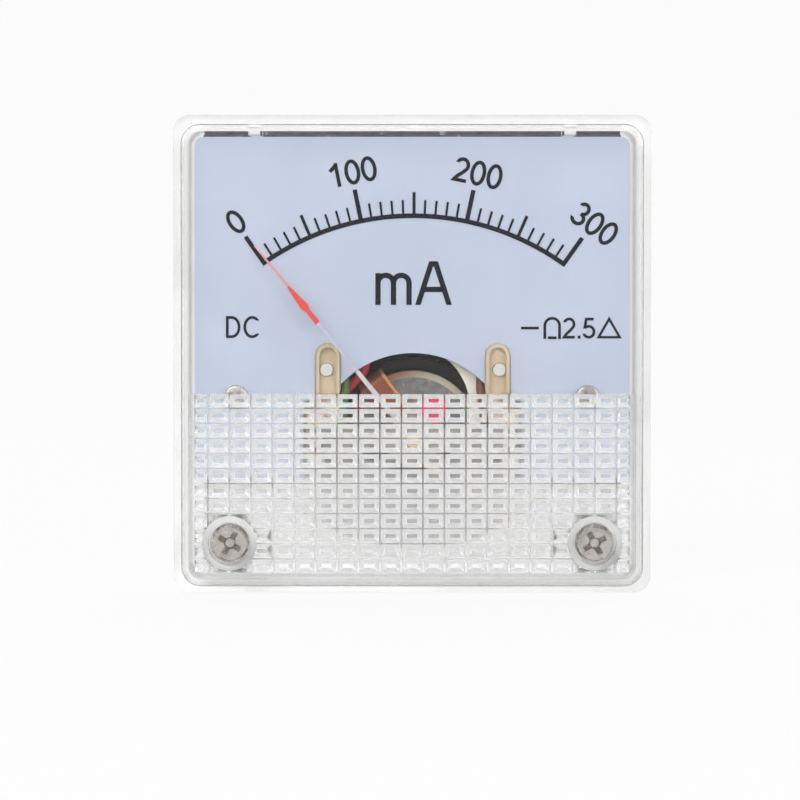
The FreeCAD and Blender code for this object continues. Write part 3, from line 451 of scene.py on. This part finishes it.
def ivory_plastic():
    """Ivory moulding: tan in the ears, with painted light making it pale cream over the ring, and painted
    shade making it greyish low behind the ribs.
    """
    material, tree, shader = principled("ivory_frame", (0.64, 0.52, 0.36), 0.4)
    x, y, z = place_parts(tree)
    tan = ramp(tree, noise(tree, 6 * MM), [(0.32, (0.58, 0.45, 0.29)), (0.68, (0.67, 0.56, 0.4))])
    # Painted light: the web over the ring is pale cream, lighter than the tan ears
    edge = [(CRESCENT_RADIUS / RING_REACH, 1.0), (CRESCENT_END / RING_REACH, 0.0)]
    inside = ramp(tree, distance_from_axis(tree, RING_REACH), [(0.0, 1.0)] + edge)
    painted_light_over_ring = all_of(tree, inside, math_node(tree, "GREATER_THAN", y, WEB_FRONT))
    upper = mix_colors(tree, painted_light_over_ring, tan, (0.97, 0.93, 0.82))
    # Painted shade: low behind the ribs the frame is greyish, darkest in the middle
    across = math_node(tree, "DIVIDE", math_node(tree, "ABSOLUTE", x), PLATE_RADIUS)
    greyish = [(0.0, (0.4, 0.385, 0.385)), (0.45, (0.48, 0.46, 0.45)), (0.62, (0.76, 0.74, 0.7))]
    lower = ramp(tree, across, greyish)
    in_low_shade = math_node(tree, "LESS_THAN", z, LOW_FRAME)
    link(tree, mix_colors(tree, in_low_shade, upper, lower), shader.inputs["Base Color"])
    moulded_skin(tree, shader, 0.3, 0.45)
    return material


def plated_metal(name, dark, light, roughness=(0.16, 0.34), size=0.9 * MM, bump=0.01 * MM):
    """Bare or plated metal: cloudy, with fine marks in its roughness."""
    material, tree, shader = principled(name, light, roughness[0], 1.0)
    vary_color(tree, shader, dark, light, size)
    vary_roughness(tree, shader, roughness[0], roughness[1], size / 2)
    add_bump(tree, shader, size / 3, bump, 0.3)
    return material


def clear_plastic():
    """Clear acrylic with faint flow marks and duller ribs. Lamps shine straight through it."""
    material, tree, shader = principled("clear_cover", (0.994, 0.997, 0.998), 0.015)
    shader.inputs["Transmission Weight"].default_value = 1.0
    shader.inputs["IOR"].default_value = 1.49
    smooth = ramp(tree, noise(tree, 3 * MM, 5.0, 0.6), [(0.3, 0.0), (0.7, 0.035)])
    dull = ramp(tree, noise(tree, 0.6 * MM, 5.0, 0.6), [(0.3, 0.12), (0.7, 0.26)])
    _, y, z = place_parts(tree)
    on_ribs = all_of(
        tree,
        is_between(tree, y, cover_low.y + WINDOW_DEPTH, cover_low.y + 2 * WINDOW_DEPTH),
        math_node(tree, "LESS_THAN", z, RIB_TOP),
    )
    link(tree, mix_colors(tree, on_ribs, smooth, dull), shader.inputs["Roughness"])
    add_bump(tree, shader, 7 * MM, 0.02 * MM, 0.25, 2.0)
    clear = add(tree, "ShaderNodeBsdfTransparent")
    path = add(tree, "ShaderNodeLightPath")
    mix = add(tree, "ShaderNodeMixShader")
    link(tree, path.outputs["Is Shadow Ray"], mix.inputs["Fac"])
    link(tree, shader.outputs["BSDF"], mix.inputs[1])
    link(tree, clear.outputs["BSDF"], mix.inputs[2])
    link(tree, mix.outputs["Shader"], tree.nodes["Material Output"].inputs["Surface"])
    return material


def dial_sheet():
    """Satin lacquer on aluminium sheet."""
    material, tree, shader = principled("dial_sheet", DIAL_BLUE, 0.42)
    vary_color(tree, shader, (0.49, 0.548, 0.672), (0.52, 0.576, 0.698), 9 * MM, 2.0)
    vary_roughness(tree, shader, 0.38, 0.5, 0.6 * MM)
    add_bump(tree, shader, 0.12 * MM, 0.003 * MM, 0.4)
    return material


def print_ink():
    material, tree, shader = principled("print_ink", NAVY, 0.6)
    shader.inputs["Specular IOR Level"].default_value = 0.05
    vary_color(tree, shader, (0.004, 0.005, 0.012), (0.01, 0.012, 0.024), 0.3 * MM)
    vary_roughness(tree, shader, 0.5, 0.7, 0.2 * MM)
    return material


def pointer_paint():
    """Red spear, pale tip, and bare metal from the stem to the hub."""
    material, tree, shader = principled("pointer_paint", (0.8, 0.8, 0.8), 0.45)
    bands = [(radius / POINTER_REACH, shade) for radius, shade in POINTER_BANDS]
    color = ramp(tree, distance_from_axis(tree, POINTER_REACH), bands, "CONSTANT")
    wear_and_painted_shade = ramp(tree, noise(tree, 0.5 * MM), [(0.3, 0.86), (0.7, 1.0)])
    paint = mix_colors(tree, 1.0, color, wear_and_painted_shade, "MULTIPLY")
    link(tree, paint, shader.inputs["Base Color"])
    add_bump(tree, shader, 0.2 * MM, 0.004 * MM, 0.5)
    return material


def magnet_core():
    """Grey cast face with bright specks, and a bronze bevel with painted light and shade, darker on the
    left and brighter to the right.
    """
    material, tree, shader = principled("magnet_core", (0.2, 0.2, 0.21), 0.5)
    x, _, _ = place_parts(tree)
    # Painted light and shade: the bevel is darker and redder on the left and brighter to the right
    side = math_node(tree, "ADD", math_node(tree, "MULTIPLY", x, BEVEL_LIGHT_SLOPE), BEVEL_LIGHT_MIDDLE)
    bronze = [(0.1, (0.62, 0.19, 0.1)), (0.4, (0.62, 0.42, 0.29)), (0.65, (0.88, 0.78, 0.6))]
    bevel = ramp(tree, side, bronze)
    specks = ramp(tree, noise(tree, 0.22 * MM, 2.0, 0.7), [(0.64, 0.0), (0.72, 1.0)])
    cast = [(0.3, (0.15, 0.14, 0.145)), (0.7, (0.28, 0.265, 0.265))]
    face = ramp(tree, noise(tree, 0.7 * MM, 6.0, 0.7), cast)
    face = mix_colors(tree, specks, face, grey(0.6))
    edge = [(FACE_RADIUS / RING_REACH, 0.0), (BEVEL_START / RING_REACH, 1.0)]
    on_bevel = ramp(tree, distance_from_axis(tree, RING_REACH), [(0.0, 0.0)] + edge)
    link(tree, mix_colors(tree, on_bevel, face, bevel), shader.inputs["Base Color"])
    vary_roughness(tree, shader, 0.35, 0.6, 0.4 * MM)
    add_bump(tree, shader, 0.3 * MM, 0.03 * MM, 0.5)
    return material


def ring_iron():
    """Iron with painted shade, black above and bare below, with a few painted highlight specks."""
    material, tree, shader = principled("ring_iron", (0.02, 0.018, 0.016), 0.3)
    shader.inputs["Specular IOR Level"].default_value = 0.08
    # Painted shade: near-black above the axis, fading to bare iron below
    dark = [(0.35, (0.003, 0.0025, 0.002)), (0.7, (0.014, 0.011, 0.009))]
    painted_shade_black = ramp(tree, noise(tree, 0.5 * MM), dark)
    # Painted highlights: a few bright specks
    specks = ramp(tree, noise(tree, 0.25 * MM, 2.0, 0.7), [(0.7, 0.0), (0.75, 1.0)])
    _, _, z = place_parts(tree)
    height = math_node(tree, "DIVIDE", math_node(tree, "SUBTRACT", z, AXIS.y), 10 * MM)
    bare = ramp(tree, height, [(0.0, 1.0), (0.3, 0.0)])
    wear_and_painted_shade = mix_colors(tree, bare, painted_shade_black, (0.3, 0.28, 0.26))
    link(tree, mix_colors(tree, specks, wear_and_painted_shade, (0.6, 0.56, 0.5)), shader.inputs["Base Color"])
    vary_roughness(tree, shader, 0.3, 0.5, 0.5 * MM)
    add_bump(tree, shader, 0.3 * MM, 0.01 * MM, 0.4)
    return material


def wound_wire():
    """Enamelled copper wire: fine parallel turns, with painted shade darker on the coil's left and a
    painted highlight at its right edge.
    """
    material, tree, shader = principled("copper_wire", (0.48, 0.13, 0.05), 0.35, 0.3)
    wave = add(tree, "ShaderNodeTexWave", wave_type="BANDS", bands_direction="DIAGONAL")
    wave.inputs["Scale"].default_value = 1.0
    wave.inputs["Distortion"].default_value = 1.2
    mapping = add(tree, "ShaderNodeMapping")
    mapping.inputs["Scale"].default_value = [0.16 / WIRE_PITCH] * 3
    link(tree, object_place(tree), mapping.inputs["Vector"])
    link(tree, mapping.outputs["Vector"], wave.inputs["Vector"])
    x, _, z = place_parts(tree)
    right = math_node(tree, "MULTIPLY", math_node(tree, "SUBTRACT", x, AXIS.x), math.cos(COIL_LEAN))
    raised = math_node(tree, "MULTIPLY", math_node(tree, "SUBTRACT", z, AXIS.y), math.sin(COIL_LEAN))
    across = math_node(tree, "DIVIDE", math_node(tree, "ADD", right, raised), COIL_WIDTH)
    side = math_node(tree, "ADD", across, 0.5)
    # Painted shade on the coil's left, copper in the middle, and a painted highlight at its right edge
    color = ramp(tree, side, [
        (0.2, (0.2, 0.035, 0.03)), (0.42, (0.11, 0.04, 0.03)), (0.46, (0.36, 0.1, 0.042)),
        (0.76, (0.28, 0.08, 0.036)), (0.79, (0.68, 0.34, 0.13)),
    ])
    turns = ramp(tree, wave.outputs["Fac"], [(0.1, 0.75), (0.8, 1.0)])
    wire = mix_colors(tree, 1.0, color, turns, "MULTIPLY")
    link(tree, wire, shader.inputs["Base Color"])
    raise_by(tree, shader, wave.outputs["Fac"], 0.02 * MM, 0.6)
    return material


def cable_skin(name, dark, light):
    material, tree, shader = principled(name, light, 0.35)
    vary_color(tree, shader, dark, light, 0.9 * MM)
    vary_roughness(tree, shader, 0.3, 0.5, 0.5 * MM)
    add_bump(tree, shader, 0.25 * MM, 0.01 * MM, 0.4)
    return material


def plain_paint(name, color, roughness, dark, light, size):
    material, tree, shader = principled(name, color, roughness)
    vary_color(tree, shader, dark, light, size)
    return material


def make_metals():
    rough_sheet = (0.3, 0.45)
    bronze = ((0.45, 0.28, 0.12), (0.7, 0.46, 0.22), (0.2, 0.35))
    brass = ((0.6, 0.45, 0.22), (0.7, 0.55, 0.29), (0.25, 0.38), 2 * MM, 0.003 * MM)
    zinc = (grey(0.56, 0.02), grey(0.66, 0.02), (0.22, 0.32), 3 * MM, 0.003 * MM)
    return {
        "plated_steel": plated_metal("plated_steel", grey(0.42, 0.06), grey(0.63, 0.06)),
        "zinc_plate": plated_metal("zinc_plate", *zinc),
        "brass": plated_metal("brass", *brass),
        "former_sheet": plated_metal("bare_sheet", grey(0.62), grey(0.78), rough_sheet),
        "bronze_spring": plated_metal("bronze_spring", *bronze),
        "soft_iron": ring_iron(),
        "magnet": magnet_core(),
        "copper_wire": wound_wire(),
    }


def make_materials():
    """Materials by the record's slot names, and the cleaner zinc plating."""
    ruby = ((0.7, 0.03, 0.1), 0.08, (0.5, 0.02, 0.07), (0.8, 0.05, 0.14), 0.4 * MM)
    lever = ((0.7, 0.02, 0.12), 0.3, (0.62, 0.015, 0.1), (0.78, 0.03, 0.15), 0.8 * MM)
    cast = (grey(0.16, 0.1), grey(0.3, 0.08), 0.4, 0.6)
    board = ((0.1, 0.06, 0.03), (0.18, 0.11, 0.06), 0.3, 0.42)
    return make_metals() | {
        "white_case": case_plastic(),
        "clear_cover": clear_plastic(),
        "dial_sheet": dial_sheet(),
        "print": print_ink(),
        "ivory_frame": ivory_plastic(),
        "die_cast": moulded_plastic("die_cast", *cast),
        "sapphire": plain_paint("jewel_ruby", *ruby),
        "lever_red": plain_paint("lever_paint", *lever),
        "pointer_sheet": pointer_paint(),
        "red_cable": cable_skin("red_cable", (0.45, 0.02, 0.015), (0.68, 0.04, 0.03)),
        "green_cable": cable_skin("green_cable", (0.07, 0.16, 0.045), (0.13, 0.25, 0.08)),
        "brown_cable": cable_skin("brown_cable", (0.13, 0.05, 0.025), (0.24, 0.1, 0.05)),
        "bobbin_board": moulded_plastic("bobbin_board", *board),
    }


def dress_nodes(materials):
    for name, slot in SLOTS.items():
        node = frame["nodes"][name]
        coat = "zinc_plate" if name.startswith(PLAIN_HARDWARE) else slot
        node.data.materials.clear()
        node.data.materials.append(materials[coat])
        for face in node.data.polygons:
            face.use_smooth = False


# Lettering: every glyph is a list of strokes, in units where a capital is 1 high

def arc(centre, radii, start, end, steps=14):
    """Points along an ellipse's arc. Angles are anticlockwise from the right."""
    points = []
    for step in range(steps + 1):
        angle = math.radians(start + (end - start) * step / steps)
        x = centre[0] + radii[0] * math.cos(angle)
        z = centre[1] + radii[1] * math.sin(angle)
        points.append((x, z))
    return points


def zero():
    return 0.69, [arc((0.345, 0.5), (0.25, 0.45), 90, 450, 32)]


def one():
    return 0.64, [[(0.36, 0.0), (0.36, 1.0)], [(0.34, 0.93), (0.22, 0.79), (0.07, 0.69)]]


def two():
    top = arc((0.34, 0.69), (0.235, 0.25), 160, -28, 16)
    return 0.69, [top + [(0.42, 0.41), (0.2, 0.21), (0.1, 0.06), (0.61, 0.06)]]


def three():
    upper = arc((0.33, 0.72), (0.2, 0.22), 160, -90, 16)
    lower = arc((0.33, 0.28), (0.245, 0.22), 90, -165, 18)
    return 0.69, [upper, lower]


def five():
    bowl = arc((0.335, 0.32), (0.25, 0.265), 145, -160, 20)
    return 0.69, [[(0.57, 0.93), (0.21, 0.93), (0.135, 0.47)], bowl]


def point():
    return 0.26, [[(0.13, -0.015), (0.13, 0.14)]]


def small_m():
    left = arc((0.297, 0.5), (0.178, 0.178), 180, 0, 14)
    right = arc((0.653, 0.5), (0.178, 0.178), 180, 0, 14)
    return 0.965, [[(0.12, 0.0), (0.12, 0.73)], left + [(0.475, 0.0)], right + [(0.831, 0.0)]]


def big_a():
    left = [(0.068, 0.0), (0.39, 1.0)]
    right = [(0.462, 1.0), (0.784, 0.0)]
    return 0.85, [left, right, [(0.39, 0.94), (0.462, 0.94)], [(0.2, 0.355), (0.65, 0.355)]]


def big_d():
    bowl = arc((0.34, 0.5), (0.33, 0.44), 90, -90, 18)
    return 0.84, [[(0.13, 0.06)] + [(0.13, 0.94)] + bowl + [(0.13, 0.06)]]


def big_c():
    return 0.84, [arc((0.43, 0.5), (0.34, 0.445), 42, 318, 26)]


GLYPHS = {
    "0": zero, "1": one, "2": two, "3": three, "5": five, ".": point,
    "m": small_m, "A": big_a, "D": big_d, "C": big_c,
}


def ribbon(points, width, closed=False):
    """The two edges of a stroke, mitred at its corners. A steep stroke ends in a level cut."""
    count = len(points)
    left, right = [], []
    for index, here in enumerate(points):
        before = points[index - 1] if index or closed else None
        after = points[(index + 1) % count] if index < count - 1 or closed else None
        ways = []
        if before is not None:
            ways.append((Vector(here) - Vector(before)).normalized())
        if after is not None:
            ways.append((Vector(after) - Vector(here)).normalized())
        along = sum(ways, Vector((0, 0))).normalized()
        normal = Vector((-along.y, along.x))
        if len(ways) == 1 and abs(along.y) > STEEP:
            normal = Vector((-math.copysign(1, along.y), 0))
        mitre = normal.dot(Vector((-ways[0].y, ways[0].x)))
        reach = width / 2 / max(MITRE_LIMIT, mitre)
        left.append(Vector(here) + normal * reach)
        right.append(Vector(here) - normal * reach)
    return left, right


def new_piece(name, vertices, faces, materials, slot):
    """A mesh that belongs to the meter's body."""
    mesh = bpy.data.meshes.new(name)
    mesh.from_pydata(vertices, [], faces)
    mesh.validate()
    mesh.materials.append(materials[slot])
    piece = bpy.data.objects.new(name, mesh)
    bpy.context.scene.collection.objects.link(piece)
    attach(piece, "meter_body")


def lay_strokes(strokes, width, place, turn=0.0, size=1.0, depths=(-PRINT_DEPTH, 0.0)):
    """Corners and faces of flat strokes between two depths from the dial's front.

    Strokes are lists of (x, z) points."""
    vertices, faces = [], []
    cos, sin = math.cos(turn), math.sin(turn)
    front, back = (DIAL_FRONT + depth for depth in depths)
    for stroke in strokes:
        closed = (Vector(stroke[0]) - Vector(stroke[-1])).length < 1e-6
        points = stroke[:-1] if closed else stroke
        left, right = ribbon(points, width, closed)
        first = len(vertices)
        for depth in (front, back):
            for point_2d in left + right:
                across, up = point_2d * size
                x = place[0] + across * cos + up * sin
                z = place[1] - across * sin + up * cos
                vertices.append((x, depth, z))
        count = len(points)
        half = 2 * count
        last = count if closed else count - 1
        spans = [(index, (index + 1) % count) for index in range(last)]
        for here, after in spans:
            a, b = first + here, first + after
            c, d = b + count, a + count
            faces += [(a, b, c, d), (a + half, d + half, c + half, b + half)]
            faces += [(a, a + half, b + half, b), (d, c, c + half, d + half)]
        if not closed:
            for end in (0, count - 1):
                a, d = first + end, first + end + count
                faces.append((a, d, d + half, a + half) if end == 0 else (a, a + half, d + half, d))
    return vertices, faces


def print_strokes(name, strokes, width, place, materials, turn=0.0, size=1.0):
    vertices, faces = lay_strokes(strokes, width, place, turn, size)
    new_piece(name, vertices, faces, materials, "print")


def word_strokes(word):
    """All strokes of a word about its middle, with capitals 1 high."""
    strokes = []
    pen = 0.0
    for letter in word:
        advance, lines = GLYPHS[letter]()
        strokes += [[(x + pen, z) for x, z in line] for line in lines]
        pen += advance
    return [[(x - pen / 2, z - 0.5) for x, z in line] for line in strokes]


def print_word(name, word, place, height, stroke, materials, turn=0.0):
    print_strokes(name, word_strokes(word), stroke / height, place, materials, turn, height)


def print_numbers(materials):
    for index, (word, x, z) in enumerate(NUMBER_PLACES):
        way = Vector((x, z)) * MM - SCALE_CENTRE
        turn = math.atan2(way.x, way.y)
        place = (x * MM, z * MM)
        print_word(f"number_{index}", word, place, NUMBER_HEIGHT, NUMBER_STROKE, materials, turn)


def print_coil_sign(materials):
    """The moving-coil sign, an arch over a short pole."""
    arch = [(-ARCH_RADIUS, ARCH_FOOT)]
    arch += arc((0, ARCH_MIDDLE), (ARCH_RADIUS, ARCH_RADIUS), 180, 0, 18)
    arch.append((ARCH_RADIUS, ARCH_FOOT))
    pole = [(-POLE_HALF, POLE_HEIGHT), (POLE_HALF, POLE_HEIGHT)]
    print_strokes("coil_sign", [arch, pole], SIGN_STROKE, ARCH_PLACE, materials)


def print_triangle(materials):
    left = (-TRIANGLE_HALF, TRIANGLE_LOW)
    right = (TRIANGLE_HALF, TRIANGLE_LOW)
    triangle = [left, (0, TRIANGLE_TOP), right, left]
    print_strokes("triangle_sign", [triangle], TRIANGLE_STROKE, TRIANGLE_PLACE, materials)


def print_dial(materials):
    """The scale's numbers, the unit, the kind of current, and the four signs at the right."""
    print_numbers(materials)
    print_word("unit_sign", "mA", UNIT_PLACE, UNIT_HEIGHT, UNIT_STROKE, materials)
    print_word("current_sign", "DC", CURRENT_PLACE, CURRENT_HEIGHT, SIGN_STROKE, materials)
    bar = [(-BAR_HALF, 0), (BAR_HALF, 0)]
    print_strokes("bar_sign", [bar], SIGN_STROKE, BAR_PLACE, materials)
    print_coil_sign(materials)
    print_word("class_sign", "2.5", CLASS_PLACE, CLASS_HEIGHT, SIGN_STROKE, materials)
    print_triangle(materials)


# The frame's plate and collars

def reach_in_circle(way, centre, radius):
    """How far a ray from the axis goes until it meets a circle round it."""
    offset = AXIS - centre
    along = offset.dot(way)
    return math.sqrt(along ** 2 + radius ** 2 - offset.length_squared) - along


def plate_reach(way):
    """The plate's outer edge: the cup's mouth below the dial, and straight sides behind it."""
    reach = reach_in_circle(way, Vector((0, 0)), PLATE_RADIUS)
    if AXIS.y + way.y * reach > dial_low.z:
        reach = min(reach, PLATE_HALF_WIDTH / max(abs(way.x), 0.1))
    return reach


def carry_plate_round(materials):
    """The plate behind the ribs, from the web at the upper right round to the left."""
    vertices, faces = [], []
    for step in range(PLATE_STEPS + 1):
        angle = math.radians(PLATE_START + (PLATE_END - PLATE_START) * step / PLATE_STEPS)
        way = Vector((math.sin(angle), math.cos(angle)))
        inner = reach_in_circle(way, OPENING_CENTRE, OPENING_RADIUS)
        outer = plate_reach(way)
        profile = [
            (inner, PLATE_BACK),
            (inner, PLATE_FRONT + PLATE_EDGE),
            (inner + PLATE_EDGE, PLATE_FRONT),
            (outer, PLATE_FRONT),
            (outer, PLATE_BACK),
        ]
        for radius, depth in profile:
            spot = AXIS + way * radius
            vertices.append((spot.x, depth, spot.y))
    count = len(profile)
    for step in range(PLATE_STEPS):
        first = step * count
        second = first + count
        for index in range(count):
            after = (index + 1) % count
            faces.append((first + index, first + after, second + after, second + index))
    last = PLATE_STEPS * count
    faces.append(tuple(reversed(range(count))))
    faces.append(tuple(range(last, last + count)))
    new_piece("frame_plate", vertices, faces, materials, "ivory_frame")


def close_ear_slots(materials):
    for index, side in enumerate((-1, 1)):
        top = arc((0, COLLAR_TOP), (COLLAR_RADIUS, COLLAR_RADIUS), 180, 0, 20)
        outline = [(-COLLAR_RADIUS, COLLAR_FOOT)] + top + [(COLLAR_RADIUS, COLLAR_FOOT)]
        place = (AXIS.x + side * EAR_OFFSET, 0.0)
        vertices, faces = lay_strokes([outline], COLLAR_WIDTH, place, depths=COLLAR_DEPTHS)
        new_piece(f"ear_collar_{index}", vertices, faces, materials, "ivory_frame")


# Threads

def thread_profile(fade):
    """A ridge's three corners, as radius and share of the pitch."""
    foot = THREAD_RADIUS - THREAD_SINK
    return [(foot, -RIDGE_HALF), (THREAD_RADIUS + THREAD_RISE * fade, 0.0), (foot, RIDGE_HALF)]


def cut_thread(name, stud, start, materials):
    """A helical ridge on a stud, from start to near its end. It fades in and out over a turn."""
    low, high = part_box(stud)
    centre = ((low + high) / 2).xz
    turns = (high.y - THREAD_MARGIN - start) / THREAD_PITCH
    count = int(turns * THREAD_STEPS)
    vertices, faces = [], []
    for step in range(count + 1):
        angle = math.radians(360 * step / THREAD_STEPS)
        way = Vector((math.cos(angle), math.sin(angle)))
        y = start + THREAD_PITCH * step / THREAD_STEPS
        fade = min(1.0, step / THREAD_STEPS, (count - step) / THREAD_STEPS)
        for radius, share in thread_profile(fade):
            spot = centre + way * radius
            vertices.append((spot.x, y + share * THREAD_PITCH, spot.y))
    for step in range(count):
        for corner in (3 * step, 3 * step + 1):
            faces.append((corner, corner + 1, corner + 4, corner + 3))
    new_piece(name, vertices, faces, materials, SLOTS[stud])


def cut_threads(materials):
    for side in ("left", "right"):
        behind_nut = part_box("terminal_nut_" + side)[1].y + THREAD_MARGIN
        cut_thread("terminal_thread_" + side, "terminal_stud_" + side, behind_nut, materials)
        cut_thread("mounting_thread_" + side, "mounting_stud_" + side, THREAD_MARGIN, materials)


# Stage

def studio_white():
    """Pale stage with a glow, stronger where the camera, metal or glass sees it. Shadows still show."""
    material, tree, shader = principled("studio_white", (0.86, 0.86, 0.865), 0.8)
    glow = add(tree, "ShaderNodeEmission")
    glow.inputs["Color"].default_value = (1, 1, 1, 1)
    path = add(tree, "ShaderNodeLightPath")
    through = path.outputs["Is Transmission Ray"]
    seen = math_node(tree, "MAXIMUM", path.outputs["Is Camera Ray"], path.outputs["Is Glossy Ray"])
    seen = math_node(tree, "MAXIMUM", seen, through)
    dimmer = math_node(tree, "MULTIPLY", through, GLOW_LOST_IN_GLASS)
    link(tree, math_node(tree, "SUBTRACT", GLOW_STRENGTH, dimmer), glow.inputs["Strength"])
    mix = add(tree, "ShaderNodeMixShader")
    share = math_node(tree, "ADD", math_node(tree, "MULTIPLY", seen, GLOW_SEEN), GLOW_SHARE)
    link(tree, share, mix.inputs["Fac"])
    link(tree, shader.outputs["BSDF"], mix.inputs[1])
    link(tree, glow.outputs["Emission"], mix.inputs[2])
    link(tree, mix.outputs["Shader"], tree.nodes["Material Output"].inputs["Surface"])
    return material


def make_stage():
    """A floor that curves up into a backdrop."""
    bend_start = STAGE_BACK - STAGE_BEND
    profile = [(STAGE_FRONT, 0.0), (bend_start, 0.0)]
    for step in range(1, STAGE_BEND_STEPS + 1):
        angle = math.radians(90 * step / STAGE_BEND_STEPS)
        y = bend_start + STAGE_BEND * math.sin(angle)
        profile.append((y, STAGE_BEND - STAGE_BEND * math.cos(angle)))
    profile.append((STAGE_BACK, STAGE_TOP))
    vertices = []
    for y, z in profile:
        for x in (-STAGE_HALF_WIDTH, STAGE_HALF_WIDTH):
            vertices.append((x, y, FLOOR_Z + z))
    starts = range(0, len(vertices) - 2, 2)
    faces = [(first, first + 1, first + 3, first + 2) for first in starts]
    mesh = bpy.data.meshes.new("stage_sweep")
    mesh.from_pydata(vertices, [], faces)
    for face in mesh.polygons:
        face.use_smooth = True
    sweep = bpy.data.objects.new("stage_sweep", mesh)
    bpy.context.scene.collection.objects.link(sweep)
    mesh.materials.append(studio_white())


def area_lamp(name, place, size, power):
    lamp = bpy.data.lights.new(name, "AREA")
    lamp.shape = "RECTANGLE"
    lamp.size, lamp.size_y = size
    lamp.energy = power
    holder = bpy.data.objects.new(name, lamp)
    holder.location = place
    holder.rotation_euler = (-Vector(place)).to_track_quat("-Z", "Y").to_euler()
    bpy.context.scene.collection.objects.link(holder)


def light_world():
    """A plain world, brighter where it is seen. Metal mirrors a dark patch in front of the window."""
    world = bpy.data.worlds.new("studio")
    bpy.context.scene.world = world
    world.use_nodes = True
    tree = world.node_tree
    path = add(tree, "ShaderNodeLightPath").outputs
    seen = math_node(tree, "MAXIMUM", path["Is Camera Ray"], path["Is Transmission Ray"])
    mirrored = math_node(tree, "GREATER_THAN", path["Is Glossy Ray"], seen)
    separate = add(tree, "ShaderNodeSeparateXYZ")
    link(tree, add(tree, "ShaderNodeTexCoord").outputs["Generated"], separate.inputs["Vector"])
    forward = math_node(tree, "MULTIPLY", separate.outputs["Y"], -1.0)
    reflected = ramp(tree, forward, [(0.9, 0.9), (0.975, 0.06)])
    plain = math_node(tree, "ADD", math_node(tree, "MULTIPLY", seen, WORLD_SEEN), WORLD_LEVEL)
    color = mix_colors(tree, mirrored, plain, reflected)
    link(tree, color, tree.nodes["Background"].inputs["Color"])


def make_light():
    light_world()
    for name, place, size, power in LAMPS:
        area_lamp(name, place, size, power)


def make_camera():
    data = bpy.data.cameras.new("camera")
    data.lens = LENS_MM
    data.sensor_width = SENSOR_MM
    data.clip_start = 0.01
    data.clip_end = 10.0
    camera = bpy.data.objects.new("camera", data)
    camera.location = CAMERA_PLACE
    camera.rotation_euler = (math.radians(90 + CAMERA_PITCH), 0, math.radians(CAMERA_TURN))
    bpy.context.scene.collection.objects.link(camera)
    bpy.context.scene.camera = camera


def main():
    scene = bpy.context.scene
    scene.view_settings.view_transform = "Standard"
    make_camera()
    materials = make_materials()
    dress_nodes(materials)
    print_dial(materials)
    carry_plate_round(materials)
    close_ear_slots(materials)
    cut_threads(materials)
    make_stage()
    make_light()


main()
